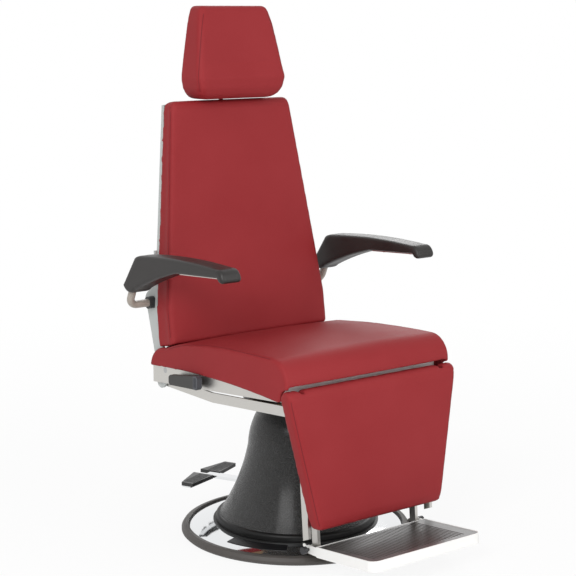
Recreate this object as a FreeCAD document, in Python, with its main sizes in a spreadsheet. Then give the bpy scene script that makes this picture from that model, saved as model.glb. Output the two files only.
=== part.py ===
import FreeCAD, Part
import math
import os
import re

import Sketcher

Vector = FreeCAD.Vector
os.makedirs("parts", exist_ok=True)
doc = FreeCAD.newDocument("ExaminationChair")

# The chair stands on the XY plane with the lift axis on Z, and the sitter looks along -Y.
# Driving sizes, in millimetres and degrees, one cell each.
SIZES = dict(
    # Round base
    base_diameter=620, edge_ring_width=19, edge_ring_height=22, edge_gap=0.5,
    dome_edge_height=16, dome_rise=14, dome_mid_share=0.6667, dome_sheet=2, dome_bore_gap=2,
    ballast_height=11, ballast_lift=3, ballast_gap=5,
    badge_inner_share=0.12, badge_width_share=0.45, badge_sheet=1.2, badge_start=188, badge_sweep=38,
    # Column with its foot
    foot_share=0.7, foot_step_width=7, foot_height=50, foot_step=34, foot_width=67, foot_round=8,
    foot_ledge=11, cover_height=302, cover_waist_radius=129, cover_waist_share=0.629,
    cover_flare_share=0.2384, cover_flare_radius_share=0.4805, cover_neck_radius=98,
    cover_neck_share=0.9603, cover_bulge_share=0.8013, cover_bulge_radius_share=0.7097,
    cover_shoulder=16, cover_wall=7, cover_slot_width=52, cover_slot_drop=37, cover_slot_rise=19,
    # Pump, piston and swivel
    piston_radius=38, housing_wall=22, housing_head_room=52, housing_flange_width=50,
    housing_flange_height=12, housing_floor=25, piston_bottom=70, piston_rise=4, running_gap=0.05,
    collar_gap=1, hub_lift=4.5, hub_radius=56, hub_height=9,
    spindle_radius=20, swivel_nut_radius=31, swivel_nut_height=9, loose_gap=0.4,
    mount_plate_radius=142, mount_plate_thickness=10,
    base_bolt_radius=5, base_bolt_inset=22, base_bolt_head=8.5, base_bolt_head_height=7,
    base_bolt_count=6, base_bolt_start=30,
    # Foot pedal
    pedal_turn=22.8, pedal_pivot_gap=24, pedal_pivot_height=112, pedal_pin_radius=6,
    pedal_hub_radius=13, pedal_hub_width=36, pedal_lug_thickness=7, pedal_lug_gap=1,
    pedal_arm_width=30, pedal_arm_thickness=8, pedal_reach=279, pedal_tee_width=26,
    pedal_tee_thickness=5, pedal_spread=112, pedal_pad_inner=18, pedal_pad_inner_out=35,
    pedal_pad_inner_in=28, pedal_pad_outer_out=13, pedal_pad_outer_in=22, pedal_pad_height=10,
    pedal_rib_width=4, pedal_rib_height=1.6, pedal_rib_count=11,
    # Seat frame
    seat_tilt=4.8, seat_line_rise=39.9, plate_outside=264, plate_thickness=6, layer_gap=2,
    seat_plate_height=56, seat_plate_past=57, tube_size=25, tube_wall=2.5, tube_rise=8,
    seat_tube_place=110, board_thickness=12, soft_gap=0.4, bearer_place=92, bearer_thickness=8,
    bearer_half=126, bearer_foot_share=0.86, strip_set_back=40, strip_thickness=5, strip_rise=21.4,
    strip_height=43, seat_plate_gap=2, back_pivot_place=232, back_pivot_rise=16.4, back_pin_radius=8,
    pin_head_radius=13, pin_head_height=3, board_inset=42, board_rear_inset=32,
    # Seat cushion
    seat_overhang=10, seat_rear_radius=62, seat_nose_radius=63, seat_nose_set_back=60,
    seat_nose_rise=66.9, seat_dip_inset=44, seat_dip_rise=90.9, seat_slope_inset=92,
    seat_slope_rise=104.4, seat_mid_place=60, seat_mid_rise=123.4, seat_crown=5,
    seat_skirt_rear_rise=21.4, seat_skirt_mid_place=30, seat_skirt_mid_rise=34.4,
    seat_skirt_front_rise=23.4, seat_lip_rise=66.4, seat_end_round=7, knee_gap=4.5,
    # Legrest
    leg_pivot_place=302, leg_pivot_rise=33.4, leg_tilt=4.93, leg_front=21.5, leg_rear=18.4,
    leg_overhang=13, leg_taper=0.2145, leg_length=331, leg_crown=5,
    leg_corner=9, leg_board_thickness=9, leg_board_inset=14, leg_lug_radius=12,
    leg_pin_radius=7, leg_slot_side=1.5, leg_cross_drop=62, leg_cross_height=24, leg_cross_depth=14,
    # Linkage
    link_rear_offset=32, link_drop=36, link_pin_radius=6, link_bar_height=26, link_bend_place=40,
    link_bend_drop=6, link_free_gap=0.6, link_rod_radius=5, link_rod_place=190,
    # Footrest
    outer_bar_overhang=1, outer_bar_width=9, bar_depth=22, bar_stand_off=1.6, outer_bar_past=35,
    bar_slant=7, outer_bar_start=88, bar_spacing=40, inner_bar_start=120, inner_bar_set_back=14,
    frame_cross_height=18, slide_gap=0.3, guide_set_up=115, guide_length=30, guide_pitch=70,
    guide_wall=6, tray_overhang=18, tray_reach=246, tray_rear_reach=30, tray_sink=16,
    tray_height=27, tray_sheet=2.5, tray_corner=24, tray_pivot_set_back=49.45,
    tray_pivot_drop=69.2, tray_ear_radius=11, tray_pin_radius=4, mat_thickness=4, mat_gap=1,
    mat_rim=1, mat_rib_width=5, mat_rib_height=1.2, mat_rib_count=31, tray_knob_radius=9.4,
    tray_knob_length=12, tray_knob_gap=9, tray_hook_reach=19, tray_hook_rise=6.5, tray_hook_radius=4,
    # Backrest
    back_lean=7.97, back_foot_inset=41.5, back_foot_rise=79, back_length=640,
    back_thick_low=68, back_thick_high=45, back_overhang=2, back_half_high=197,
    back_straight=92, back_crown=6, back_corner=10, back_side_draw=3, back_sweep_gap=4.5,
    back_board_inset=16, panel_depth=12, panel_sheet=2, panel_inset=3, panel_start=70,
    hinge_plate_top=250, hinge_plate_mid_share=0.66, hinge_foot_radius=24, hinge_heel_radius=38.4,
    hinge_link_radius=19.5, arm_axis_set_back=66, arm_axis_rise=176, arm_bulge=36,
    back_cross_low=118,
    # Headrest
    head_post_radius=6, head_post_set_back=51.76, head_post_drop=148.8, head_tilt_rise=113.2,
    head_guide_width=44, head_guide_depth=24, head_guide_height=60, head_guide_drop=58.8,
    head_knob_radius=15, head_knob_length=16, head_knob_stem=5, head_knob_lobes=8,
    head_rear_gap=13, head_bottom_drop=104, head_low_drop=52, head_mid_rise=28, head_top_rise=135,
    head_low_half=142, head_mid_half=131, head_top_half=112, head_low_depth=92, head_mid_depth=76,
    head_top_depth=54, head_hollow=6, head_board_width=150, head_board_height=120,
    head_board_thickness=8, head_pin_radius=4, head_fork_width=26, head_fork_thickness=5,
    head_tongue_radius=7.8,
    # Armrests
    arm_tube_radius=10.5, arm_tube_wall=2, arm_tube_out=69, arm_bend=24, arm_tube_length=88,
    arm_tube_lean=24, arm_bush_radius=16.5, arm_bush_length=17, arm_bush_flange=3,
    arm_pad_inset=38, arm_pad_width=62, arm_reach=453, arm_top_rise=156, arm_tip_inset=15,
    arm_tip_drop=23, arm_tip_low_drop=34, arm_under_inset=24, arm_under_drop=26,
    arm_under_rear_share=0.5585, arm_under_rear_drop=37, arm_belly_share=0.3554, arm_belly_drop=64,
    arm_root_reach=58, arm_root_rise=50, arm_heel_reach=26, arm_heel_rise=41, arm_rear_reach=4,
    arm_rear_rise=55, arm_back_reach=60, arm_back_drop=18, arm_crest_reach=93, arm_crest_drop=10,
    arm_top_share=0.5695, arm_top_front_inset=29, arm_top_front_drop=4, arm_nose_round=4,
    arm_pad_crown=1.5, arm_strip_width=34, arm_strip_thickness=3, arm_pad_round=7,
    arm_screw_radius=2.5, arm_screw_head=5, arm_screw_head_height=2.5, arm_screw_depth=9,
    # Recline release
    release_inset=82, release_rise=4.4, release_shaft_radius=6, handle_back=26, handle_reach=105,
    handle_rear_under=13, handle_rear_over=14, handle_front_under=6, handle_front_over=31,
    handle_thickness=15, handle_stand_off=13, handle_corner=6, grip_length=20, grip_rib=2,
    grip_rib_depth=0.8, grip_rib_count=3, bracket_thickness=6, brake_radius=46, brake_hub_radius=15,
    brake_start=222, brake_sweep=96, brake_root_lead=5, brake_contact=230, shoe_radius=9,
    shoe_tip_radius=7,
    # The part of a corner's radius that the middle of its arc keeps off both sides
    corner_share=0.29289, overrun=5,
)

# Sizes and places that follow from the driving sizes, one formula each.
PLACES = dict(
    # Round base and column
    base_radius="base_diameter / 2",
    ring_inner="base_radius - edge_ring_width",
    ring_round="edge_ring_height / 4",
    dome_edge="ring_inner - edge_gap",
    dome_top="dome_edge_height + dome_rise",
    dome_under="dome_top - dome_sheet",
    foot_radius="base_radius * foot_share",
    foot_plinth_radius="foot_radius + foot_step_width",
    dome_mid_radius="(dome_edge + foot_plinth_radius) / 2",
    dome_mid_height="dome_edge_height + dome_rise * dome_mid_share",
    ballast_radius="ring_inner - ballast_gap",
    ballast_top="ballast_lift + ballast_height",
    badge_room="dome_edge - foot_plinth_radius",
    badge_inner="foot_plinth_radius + badge_room * badge_inner_share",
    badge_outer="badge_inner + badge_room * badge_width_share",
    foot_bore_radius="foot_radius - foot_width",
    cover_foot_radius="foot_radius - foot_ledge",
    cover_flare_radius="cover_waist_radius"
                       " + (cover_foot_radius - cover_waist_radius) * cover_flare_radius_share",
    cover_bulge_radius="cover_neck_radius"
                       " + (cover_waist_radius - cover_neck_radius) * cover_bulge_radius_share",
    cover_top_radius="cover_neck_radius - cover_shoulder",
    cover_flare_height="foot_height + cover_height * cover_flare_share",
    cover_waist_height="foot_height + cover_height * cover_waist_share",
    cover_bulge_height="foot_height + cover_height * cover_bulge_share",
    cover_neck_height="foot_height + cover_height * cover_neck_share",
    cover_top_height="foot_height + cover_height",
    cover_roof="cover_top_height - cover_wall",
    collar_inner="piston_radius + collar_gap",
    # Pump, piston, swivel and pedal
    housing_radius="piston_radius + housing_wall",
    housing_top="cover_top_height - housing_head_room",
    housing_flange_radius="housing_radius + housing_flange_width",
    housing_bore="piston_radius + running_gap",
    flange_top="dome_top + housing_flange_height",
    dome_bore_radius="housing_flange_radius + dome_bore_gap",
    bolt_circle="housing_flange_radius - base_bolt_inset",
    bolt_low="ballast_lift + ballast_height / 2",
    piston_top="cover_top_height + piston_rise",
    hub_bottom="piston_top + hub_lift",
    hub_top="hub_bottom + hub_height",
    mount_bottom="hub_top + loose_gap / 2",
    mount_top="mount_bottom + mount_plate_thickness",
    nut_bottom="mount_top + loose_gap / 2",
    spindle_top="nut_bottom + swivel_nut_height",
    pedal_pivot_reach="housing_radius + pedal_pivot_gap",
    pedal_lug_start="pedal_hub_width / 2 + pedal_lug_gap",
    pedal_pin_half="pedal_lug_start + pedal_lug_thickness",
    pedal_arm_low="pedal_pivot_height - pedal_arm_thickness / 2",
    pedal_tee_low="pedal_arm_low - pedal_tee_thickness",
    pedal_pad_top="pedal_arm_low + pedal_pad_height",
    # Seat frame and its layers, from the outside in
    seat_line_height="mount_top + seat_line_rise",
    seat_slope="tan(seat_tilt)",
    plate_inside="plate_outside - plate_thickness",
    back_out="plate_inside - layer_gap",
    back_in="back_out - plate_thickness",
    link_out="back_in - layer_gap",
    link_in="link_out - plate_thickness",
    arm_out="link_in - layer_gap",
    arm_in="arm_out - plate_thickness",
    lug_out="arm_in - layer_gap",
    lug_in="lug_out - plate_thickness",
    board_low="tube_rise + tube_size",
    board_high="board_low + board_thickness",
    board_half_width="plate_outside - board_inset",
    board_rear="back_pivot_place - board_rear_inset",
    strip_place="leg_pivot_place - strip_set_back",
    strip_back="strip_place - strip_thickness",
    strip_low="seat_line_height + strip_rise",
    seat_plate_front="strip_back - seat_plate_gap",
    seat_plate_rear="back_pivot_place + seat_plate_past",
    back_pivot_height="seat_line_height + back_pivot_rise",
    leg_pivot_height="seat_line_height + leg_pivot_rise",
    # Seat cushion
    seat_half_width="plate_outside + seat_overhang",
    seat_nose_place="leg_pivot_place - seat_nose_set_back",
    seat_nose_height="seat_line_height + seat_nose_rise",
    seat_back_dip="back_pivot_place - seat_dip_inset",
    seat_back_dip_height="seat_line_height + seat_dip_rise",
    seat_rise_place="back_pivot_place - seat_slope_inset",
    seat_rise_height="seat_line_height + seat_slope_rise",
    seat_mid_height="seat_line_height + seat_mid_rise",
    seat_skirt_rear_height="seat_line_height + seat_skirt_rear_rise",
    seat_skirt_mid_height="seat_line_height + seat_skirt_mid_rise",
    seat_skirt_front_place="strip_place",
    seat_skirt_front_height="seat_line_height + seat_skirt_front_rise",
    seat_lip_height="seat_line_height + seat_lip_rise",
    # Legrest and linkage
    leg_top_half_width="plate_outside + leg_overhang",
    leg_bottom_half_width="leg_top_half_width - leg_taper * leg_length",
    leg_board_start="leg_front + leg_board_inset",
    leg_board_end="leg_length - leg_board_inset",
    leg_cross_rear="leg_rear + leg_cross_depth",
    leg_cross_end="leg_cross_drop + leg_cross_height",
    link_rear_y="back_pivot_place + link_rear_offset",
    link_rear_z="back_pivot_height - link_drop",
    link_front_y="link_rear_offset - leg_pivot_place",
    link_front_z="leg_pivot_height - link_drop",
    link_bend_z="link_rear_z - link_bend_drop",
    link_radius="link_bar_height / 2",
    link_rod_z="link_bend_z + (link_front_z - link_bend_z)"
               " * (link_bend_place + link_rod_place) / (link_bend_place - link_front_y)",
    # Footrest
    outer_bar_place="leg_bottom_half_width + outer_bar_overhang",
    outer_front="leg_rear + bar_stand_off",
    outer_rear="outer_front + bar_depth",
    outer_bar_end="leg_length + outer_bar_past",
    inner_bar_place="outer_bar_place - bar_spacing",
    inner_front="outer_front + inner_bar_set_back",
    inner_rear="inner_front + bar_depth",
    inner_low="inner_bar_place - outer_bar_width / 2",
    inner_high="inner_bar_place + outer_bar_width / 2",
    guide_start="leg_length - guide_set_up",
    tray_pivot_place="leg_pivot_place + leg_length * sin(leg_tilt) - tray_pivot_set_back",
    tray_pivot_height="leg_pivot_height - leg_length * cos(leg_tilt) - tray_pivot_drop",
    tray_down="(leg_pivot_height - tray_pivot_height) * cos(leg_tilt)"
              " + (tray_pivot_place - leg_pivot_place) * sin(leg_tilt)",
    tray_floor="tray_height - tray_sink - mat_rim - mat_thickness",
    tray_half_width="inner_bar_place + tray_overhang",
    tray_knob_place="tray_half_width + tray_knob_gap",
    mat_inset="tray_sheet + mat_gap",
    mat_top="tray_floor + mat_thickness",
    mat_half_width="tray_half_width - mat_inset",
    # Backrest
    back_foot_place="back_pivot_place - back_foot_inset",
    back_foot_height="back_pivot_height + back_foot_rise",
    back_half_low="plate_outside + back_overhang",
    back_sweep_radius="seat_rear_radius + back_sweep_gap",
    back_top_height="back_foot_height + back_length * cos(back_lean)",
    back_top_place="back_foot_place + back_length * sin(back_lean)",
    back_pan_gap="2 * soft_gap",
    arm_axis_place="back_pivot_place + arm_axis_set_back",
    arm_axis_height="back_pivot_height + arm_axis_rise",
    # Headrest
    head_post_place="back_top_place + head_post_set_back",
    head_post_low="back_top_height - head_post_drop",
    head_tilt_height="back_top_height + head_tilt_rise",
    head_guide_centre="back_top_height - head_guide_drop",
    head_rear="head_post_place - head_rear_gap",
    head_bottom="head_tilt_height - head_bottom_drop",
    head_low_height="head_tilt_height - head_low_drop",
    head_mid_height="head_tilt_height + head_mid_rise",
    head_top="head_tilt_height + head_top_rise",
    head_board_low="head_tilt_height - head_board_height / 2",
    fork_half="head_fork_width / 2",
    tongue_half="fork_half - head_fork_thickness - loose_gap / 2",
    # Armrests
    arm_tube_place="plate_outside + arm_tube_out",
    arm_pad_inner="arm_tube_place - arm_pad_inset",
    arm_middle="arm_pad_inner + arm_pad_width / 2",
    arm_strip_inner="arm_middle - arm_strip_width / 2",
    arm_top_height="arm_axis_height + arm_top_rise",
    arm_front_y="arm_axis_place - arm_reach",
    arm_under_front_y="arm_front_y + arm_under_inset",
    arm_under_front_height="arm_top_height - arm_under_drop",
    arm_under_rear_y="arm_axis_place - arm_reach * arm_under_rear_share",
    arm_under_rear_height="arm_top_height - arm_under_rear_drop",
    # Recline release
    release_place="back_pivot_place - release_inset",
    release_height="seat_line_height + release_rise",
    handle_rear="release_place + handle_back",
    handle_front="release_place - handle_reach",
    handle_split="handle_front + grip_length",
    handle_in="plate_outside + handle_stand_off",
    handle_out="handle_in + handle_thickness",
    handle_rear_low="release_height - handle_rear_under",
    handle_rear_high="release_height + handle_rear_over",
    handle_front_low="release_height - handle_front_under",
    handle_front_high="release_height + handle_front_over",
    bracket_in="lug_in - bracket_thickness",
    shaft_end="handle_out - handle_corner",
    shoe_contact_radius="brake_radius + shoe_tip_radius - soft_gap",
)


def formula(text):
    """Write a formula of size names as an expression that reads their cells."""
    def cell(found):
        word = found.group(0)
        if word in SIZES:
            return "Sizes." + word
        return "Places." + word if word in PLACES else word
    return re.sub(r"[a-z]\w*", cell, text)


def fill(name, rows):
    """A spreadsheet with a name, a cell and its alias in each row."""
    table = doc.addObject("Spreadsheet::Sheet", name)
    for row, (alias, content) in enumerate(rows.items(), start=1):
        table.set("A%d" % row, alias)
        table.set("B%d" % row, str(content))
        table.setAlias("B%d" % row, alias)
    doc.recompute()
    return table


sheet = fill("Sizes", SIZES)
places = fill("Places", {alias: "=" + formula(text) for alias, text in PLACES.items()})


class Cells:
    """Reads a size from its sheet by its alias."""

    def __getattr__(self, alias):
        return float((sheet if alias in SIZES else places).get(alias))


S = Cells()
FINISHED = []
X_AXIS, Z_AXIS = Vector(1, 0, 0), Vector(0, 0, 1)
SIDES = (("left", 1), ("right", -1))


def value(text):
    """The number that a formula gives now."""
    return float(places.evalExpression(formula(text)))


def name_it(thing, label):
    """Give a finished sub-part the label that names its file."""
    thing.Label = label
    FINISHED.append(thing)
    return thing


# Bars, blocks and joins, each size and place bound to the sheets
def put(thing, x="0", y="0", z="0", yaw="0", pitch="0", roll="0"):
    """Bind a piece's place and its turn."""
    text = "placement(vector(%s; %s; %s); rotation(%s; %s; %s))" % (x, y, z, yaw, pitch, roll)
    thing.setExpression("Placement", formula(text))
    return thing


def rod(name, axis, radius, length, x="0", y="0", z="0", yaw="0"):
    """Round bar that starts at (x, y, z) and runs along an axis, turned by yaw about Z."""
    thing = doc.addObject("Part::Cylinder", name)
    thing.setExpression("Radius", formula(radius))
    thing.setExpression("Height", formula(length))
    turns = dict(X=(yaw, "90", "0"), Y=(yaw, "0", "-90"), Z=(yaw, "0", "0"))
    return put(thing, x, y, z, *turns[axis])


def block(name, size, x="0", y="0", z="0", yaw="0", roll="0"):
    """Box with a length, width and height from its lowest corner."""
    thing = doc.addObject("Part::Box", name)
    for side, text in zip(("Length", "Width", "Height"), size):
        thing.setExpression(side, formula(text))
    return put(thing, x, y, z, yaw, "0", roll)


def join(name, pieces):
    """Pieces welded into one."""
    thing = doc.addObject("Part::MultiFuse", name)
    thing.Shapes = pieces
    thing.Refine = True
    return thing


def cut(name, base, *tools):
    """A piece with each tool cut out of it."""
    for number, tool in enumerate(tools, start=1):
        thing = doc.addObject("Part::Cut", name if number == len(tools) else name + "_step")
        thing.Base = base
        thing.Tool = tool
        base = thing
    base.Refine = True
    return base


def group(name, pieces):
    """Separate pieces that share a node."""
    thing = doc.addObject("Part::Compound", name)
    thing.Links = pieces
    return thing


def span(side, inner, outer):
    """Start and length along X of what lies from inner to outer on one side."""
    start = inner if side > 0 else "-(%s)" % outer
    return start, "(%s) - (%s)" % (outer, inner)


# Sketches whose corners are formulas
def sketch_on(body, role, offset="0"):
    """A sketch on one of the body's own origin planes, moved along its normal."""
    sketch = body.newObject("Sketcher::SketchObject", body.Name + "Sketch")
    plane = [item for item in body.Origin.OriginFeatures if item.Role == role][0]
    sketch.AttachmentSupport = [(plane, "")]
    sketch.MapMode = "FlatFace"
    sketch.setExpression("AttachmentOffset.Base.z", formula(offset))
    return sketch


def bind(sketch, constraint, text):
    """Add a dimension and bind it to its formula."""
    number = sketch.addConstraint(constraint)
    sketch.setExpression("Constraints[%d]" % number, formula(text))


def hold(sketch, edge, end, spot):
    """Hold a point of the sketch at two formulas."""
    for kind, text in zip(("DistanceX", "DistanceY"), spot):
        bind(sketch, Sketcher.Constraint(kind, -1, 1, edge, end, value(text)), text)


def arc_through(sketch, first, middle, last):
    """Arc through three points. Gives its edge and which of its ends comes first."""
    curve = Part.Arc(first, middle, last).toShape().Curve
    turn = [math.atan2(p.y - curve.Center.y, p.x - curve.Center.x) for p in (first, middle, last)]
    whole = 2 * math.pi
    rising = (turn[1] - turn[0]) % whole < (turn[2] - turn[0]) % whole
    low, high = (turn[0], turn[2]) if rising else (turn[2], turn[0])
    if high < low:
        high += whole
    circle = Part.Circle(curve.Center, Z_AXIS, curve.Radius)
    edge = sketch.addGeometry(Part.ArcOfCircle(circle, low, high), False)
    return edge, (1, 2) if rising else (2, 1)


def outline(sketch, corners):
    """Closed outline. A corner is two formulas, and 'arc' where an arc passes through it."""
    spots = [Vector(value(c[0]), value(c[1]), 0) for c in corners]
    count = len(corners)
    runs = []
    index = 0
    while index < count:
        after = (index + 1) % count
        if len(corners[after]) == 3:
            far = (index + 2) % count
            edge, ends = arc_through(sketch, spots[index], spots[after], spots[far])
            guide = sketch.addGeometry(Part.Point(spots[after]), True)
            hold(sketch, guide, 1, corners[after][:2])
            sketch.addConstraint(Sketcher.Constraint("PointOnObject", guide, 1, edge))
        else:
            far = after
            edge = sketch.addGeometry(Part.LineSegment(spots[index], spots[far]), False)
            ends = (1, 2)
        runs.append((index, edge, ends))
        index = far if far > index else count
    for number, (index, edge, ends) in enumerate(runs):
        following = runs[(number + 1) % len(runs)]
        hold(sketch, edge, ends[0], corners[index])
        sketch.addConstraint(Sketcher.Constraint("Coincident", edge, ends[1], following[1],
                                                 following[2][0]))


def circle(sketch, spot, radius):
    """Circle held at its centre."""
    centre = Vector(value(spot[0]), value(spot[1]), 0)
    edge = sketch.addGeometry(Part.Circle(centre, Z_AXIS, value(radius)), False)
    hold(sketch, edge, 3, spot)
    bind(sketch, Sketcher.Constraint("Radius", edge, value(radius)), radius)


def round_ended(sketch, first, second, radius):
    """Outline of a bar with round ends that are centred on two points."""
    near, far = [Vector(value(s[0]), value(s[1]), 0) for s in (first, second)]
    size = value(radius)
    angle = math.atan2(far.y - near.y, far.x - near.x)
    quarter = math.pi / 2
    across = Vector(-math.sin(angle), math.cos(angle), 0) * size
    ends = [sketch.addGeometry(Part.ArcOfCircle(Part.Circle(near, Z_AXIS, size), angle + quarter,
                                                angle + 3 * quarter), False),
            sketch.addGeometry(Part.LineSegment(near - across, far - across), False),
            sketch.addGeometry(Part.ArcOfCircle(Part.Circle(far, Z_AXIS, size), angle - quarter,
                                                angle + quarter), False),
            sketch.addGeometry(Part.LineSegment(far + across, near + across), False)]
    for number in range(4):
        sketch.addConstraint(Sketcher.Constraint("Tangent", ends[number], 2, ends[number - 3], 1))
    hold(sketch, ends[0], 3, first)
    hold(sketch, ends[2], 3, second)
    sketch.addConstraint(Sketcher.Constraint("Equal", ends[0], ends[2]))
    bind(sketch, Sketcher.Constraint("Radius", ends[0], size), radius)


def padded(body, sketch, thickness):
    """Pad a sketch to a bound thickness."""
    feature = body.newObject("PartDesign::Pad", body.Name + "Pad")
    feature.Profile = sketch
    feature.setExpression("Length", formula(thickness))
    body.Tip = feature
    return body


def plate(name, corners, low, thickness, holes=(), role="YZ_Plane"):
    """Flat plate of a side view outline, from x = low. A hole is two formulas and a radius."""
    body = doc.addObject("PartDesign::Body", name)
    sketch = sketch_on(body, role, low)
    outline(sketch, corners)
    for hole in holes:
        circle(sketch, hole[:2], hole[2])
    return padded(body, sketch, thickness)


def lever(name, first, second, radius, low, thickness):
    """Flat bar with round ends in side view, from x = low."""
    body = doc.addObject("PartDesign::Body", name)
    sketch = sketch_on(body, "YZ_Plane", low)
    round_ended(sketch, first, second, radius)
    return padded(body, sketch, thickness)


def turned(name, corners):
    """Body turned about the Z axis from an outline of (radius, height) corners."""
    body = doc.addObject("PartDesign::Body", name)
    sketch = sketch_on(body, "XZ_Plane")
    outline(sketch, corners)
    feature = body.newObject("PartDesign::Revolution", name + "Turn")
    feature.Profile = sketch
    feature.ReferenceAxis = (sketch, ["V_Axis"])
    feature.Angle = 360
    body.Tip = feature
    return body


# Shapes worked out in code, for what is lofted or bent
def fixed(label, shape):
    """A sub-part whose shape is worked out from the sheets."""
    thing = doc.addObject("Part::Feature", label)
    place = shape.Placement
    thing.Shape = shape
    thing.Placement = place
    return name_it(thing, label)


def bar(start, direction, radius, length):
    return Part.makeCylinder(radius, length, start, direction)


def brick(low, high):
    low, high = Vector(*low), Vector(*high)
    return Part.makeBox(high.x - low.x, high.y - low.y, high.z - low.z, low)


def wire_yz(side, corners):
    """Closed wire in the plane x = side. A corner is (y, z), or (y, z, 'arc') for the point
    that an arc passes through."""
    points = [Vector(side, c[0], c[1]) for c in corners]
    edges = []
    index = 0
    count = len(corners)
    while index < count:
        after = (index + 1) % count
        if len(corners[after]) == 3:
            far = (index + 2) % count
            edges.append(Part.Arc(points[index], points[after], points[far]).toShape())
            index += 2
        else:
            edges.append(Part.LineSegment(points[index], points[after]).toShape())
            index += 1
    return Part.Wire(edges)


def side_slab(corners, low, high):
    """A slab of a side view outline, from x = low to x = high."""
    low, high = min(low, high), max(low, high)
    return Part.Face(wire_yz(low, corners)).extrude(X_AXIS * (high - low))


def loft(wires):
    return Part.makeLoft(wires, True, True)


def both(side, inner, outer):
    """The x range from inner to outer on one side, in rising order."""
    return sorted((side * inner, side * outer))


# Round base
name_it(turned("base_edge_ring", [
    ("ring_inner", "0"), ("base_radius - ring_round", "0"), ("base_radius", "ring_round"),
    ("base_radius", "edge_ring_height - 2 * ring_round"),
    ("base_radius - ring_round", "edge_ring_height - ring_round / 2"),
    ("base_radius - 2 * ring_round", "edge_ring_height"), ("ring_inner", "edge_ring_height"),
]), "base_edge_ring")
name_it(turned("base_dome", [
    ("dome_edge", "dome_edge_height"), ("dome_mid_radius", "dome_mid_height", "arc"),
    ("foot_plinth_radius", "dome_top"), ("dome_bore_radius", "dome_top"),
    ("dome_bore_radius", "dome_under"), ("foot_plinth_radius", "dome_under"),
    ("dome_mid_radius", "dome_mid_height - dome_sheet", "arc"),
    ("dome_edge", "dome_edge_height - dome_sheet"),
]), "base_dome")


def bolt_ring(name, radius, low, length):
    """One round bar at each place of the ring of bolts."""
    bars = []
    for number in range(int(S.base_bolt_count)):
        angle = "base_bolt_start + 360 * %d / base_bolt_count" % number
        bars.append(rod(name, "Z", radius, length, "bolt_circle * cos(%s)" % angle,
                        "bolt_circle * sin(%s)" % angle, low))
    return bars


ballast_disc = rod("ballast_disc", "Z", "ballast_radius", "ballast_height", z="ballast_lift")
ballast_post = rod("ballast_post", "Z", "housing_flange_radius", "dome_under - ballast_top",
                   z="ballast_top")
name_it(cut("base_ballast", join("ballast_blank", [ballast_disc, ballast_post]),
            group("ballast_holes", bolt_ring("ballast_hole", "base_bolt_radius", "bolt_low",
                                             "dome_top - bolt_low"))), "base_ballast")


def dome_height(radius):
    """Height of the dome's upper face at a radius."""
    points = ((S.dome_edge, S.dome_edge_height), (S.dome_mid_radius, S.dome_mid_height),
              (S.foot_plinth_radius, S.dome_top))
    curve = Part.Arc(*[Vector(p[0], p[1], 0) for p in points]).toShape().Curve
    rise = math.sqrt(curve.Radius ** 2 - (radius - curve.Center.x) ** 2)
    return curve.Center.y + rise


badge_low = [Vector(r, 0, dome_height(r) + S.running_gap)
             for r in (S.badge_inner, (S.badge_inner + S.badge_outer) / 2, S.badge_outer)]
badge_high = [p + Z_AXIS * S.badge_sheet for p in reversed(badge_low)]
badge_edges = [Part.Arc(*badge_low), Part.LineSegment(badge_low[-1], badge_high[0]),
               Part.Arc(*badge_high), Part.LineSegment(badge_high[-1], badge_low[0])]
badge_face = Part.Face(Part.Wire([edge.toShape() for edge in badge_edges]))
badge = badge_face.revolve(Vector(0, 0, 0), Z_AXIS, S.badge_sweep)
badge.rotate(Vector(0, 0, 0), Z_AXIS, S.badge_start)
fixed("badge_plate", badge)

# Column with its foot
name_it(turned("column_foot", [
    ("foot_bore_radius", "dome_top"), ("foot_plinth_radius", "dome_top"),
    ("foot_plinth_radius", "foot_step - 2 * edge_gap"), ("foot_radius", "foot_step"),
    ("foot_radius", "foot_height - foot_round"),
    ("foot_radius - foot_round * corner_share", "foot_height - foot_round * corner_share", "arc"),
    ("foot_radius - foot_round", "foot_height"), ("foot_bore_radius", "foot_height"),
]), "column_foot")
cover_outside = [
    ("cover_foot_radius", "foot_height"), ("cover_flare_radius", "cover_flare_height", "arc"),
    ("cover_waist_radius", "cover_waist_height"),
    ("cover_bulge_radius", "cover_bulge_height", "arc"),
    ("cover_neck_radius", "cover_neck_height"),
]
cover_inside = [(corner[0] + " - cover_wall",) + corner[1:] for corner in reversed(cover_outside)]
cover_blank = turned("cover_blank", cover_outside + [
    ("cover_top_radius", "cover_top_height"), ("collar_inner", "cover_top_height"),
    ("collar_inner", "cover_roof"), ("cover_top_radius - cover_wall", "cover_roof"),
] + cover_inside)


def pedal_spot(x, y):
    """Place of a point of the pedal, given before the pedal is turned about the lift axis."""
    return ("cos(pedal_turn) * (%s) - sin(pedal_turn) * (%s)" % (x, y),
            "sin(pedal_turn) * (%s) + cos(pedal_turn) * (%s)" % (x, y))


def pedal_rod(name, radius, half):
    """Round bar through the pedal's pivot, as long on each side as half."""
    x, y = pedal_spot("-(%s)" % half, "pedal_pivot_reach")
    return rod(name, "X", radius, "2 * (%s)" % half, x, y, "pedal_pivot_height", "pedal_turn")


def pedal_block(name, x_low, x_high, y_low, y_high, z_low, z_high):
    """Box in the pedal's direction."""
    x, y = pedal_spot(x_low, y_low)
    size = ["(%s) - (%s)" % pair for pair in ((x_high, x_low), (y_high, y_low), (z_high, z_low))]
    return block(name, size, x, y, z_low, "pedal_turn")


pedal_slot = pedal_block("cover_slot", "-cover_slot_width / 2", "cover_slot_width / 2",
                         "cover_waist_radius / 2", "foot_radius",
                         "pedal_pivot_height - cover_slot_drop",
                         "pedal_pivot_height + cover_slot_rise")
name_it(cut("column_cover", cover_blank, pedal_slot), "column_cover")

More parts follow.
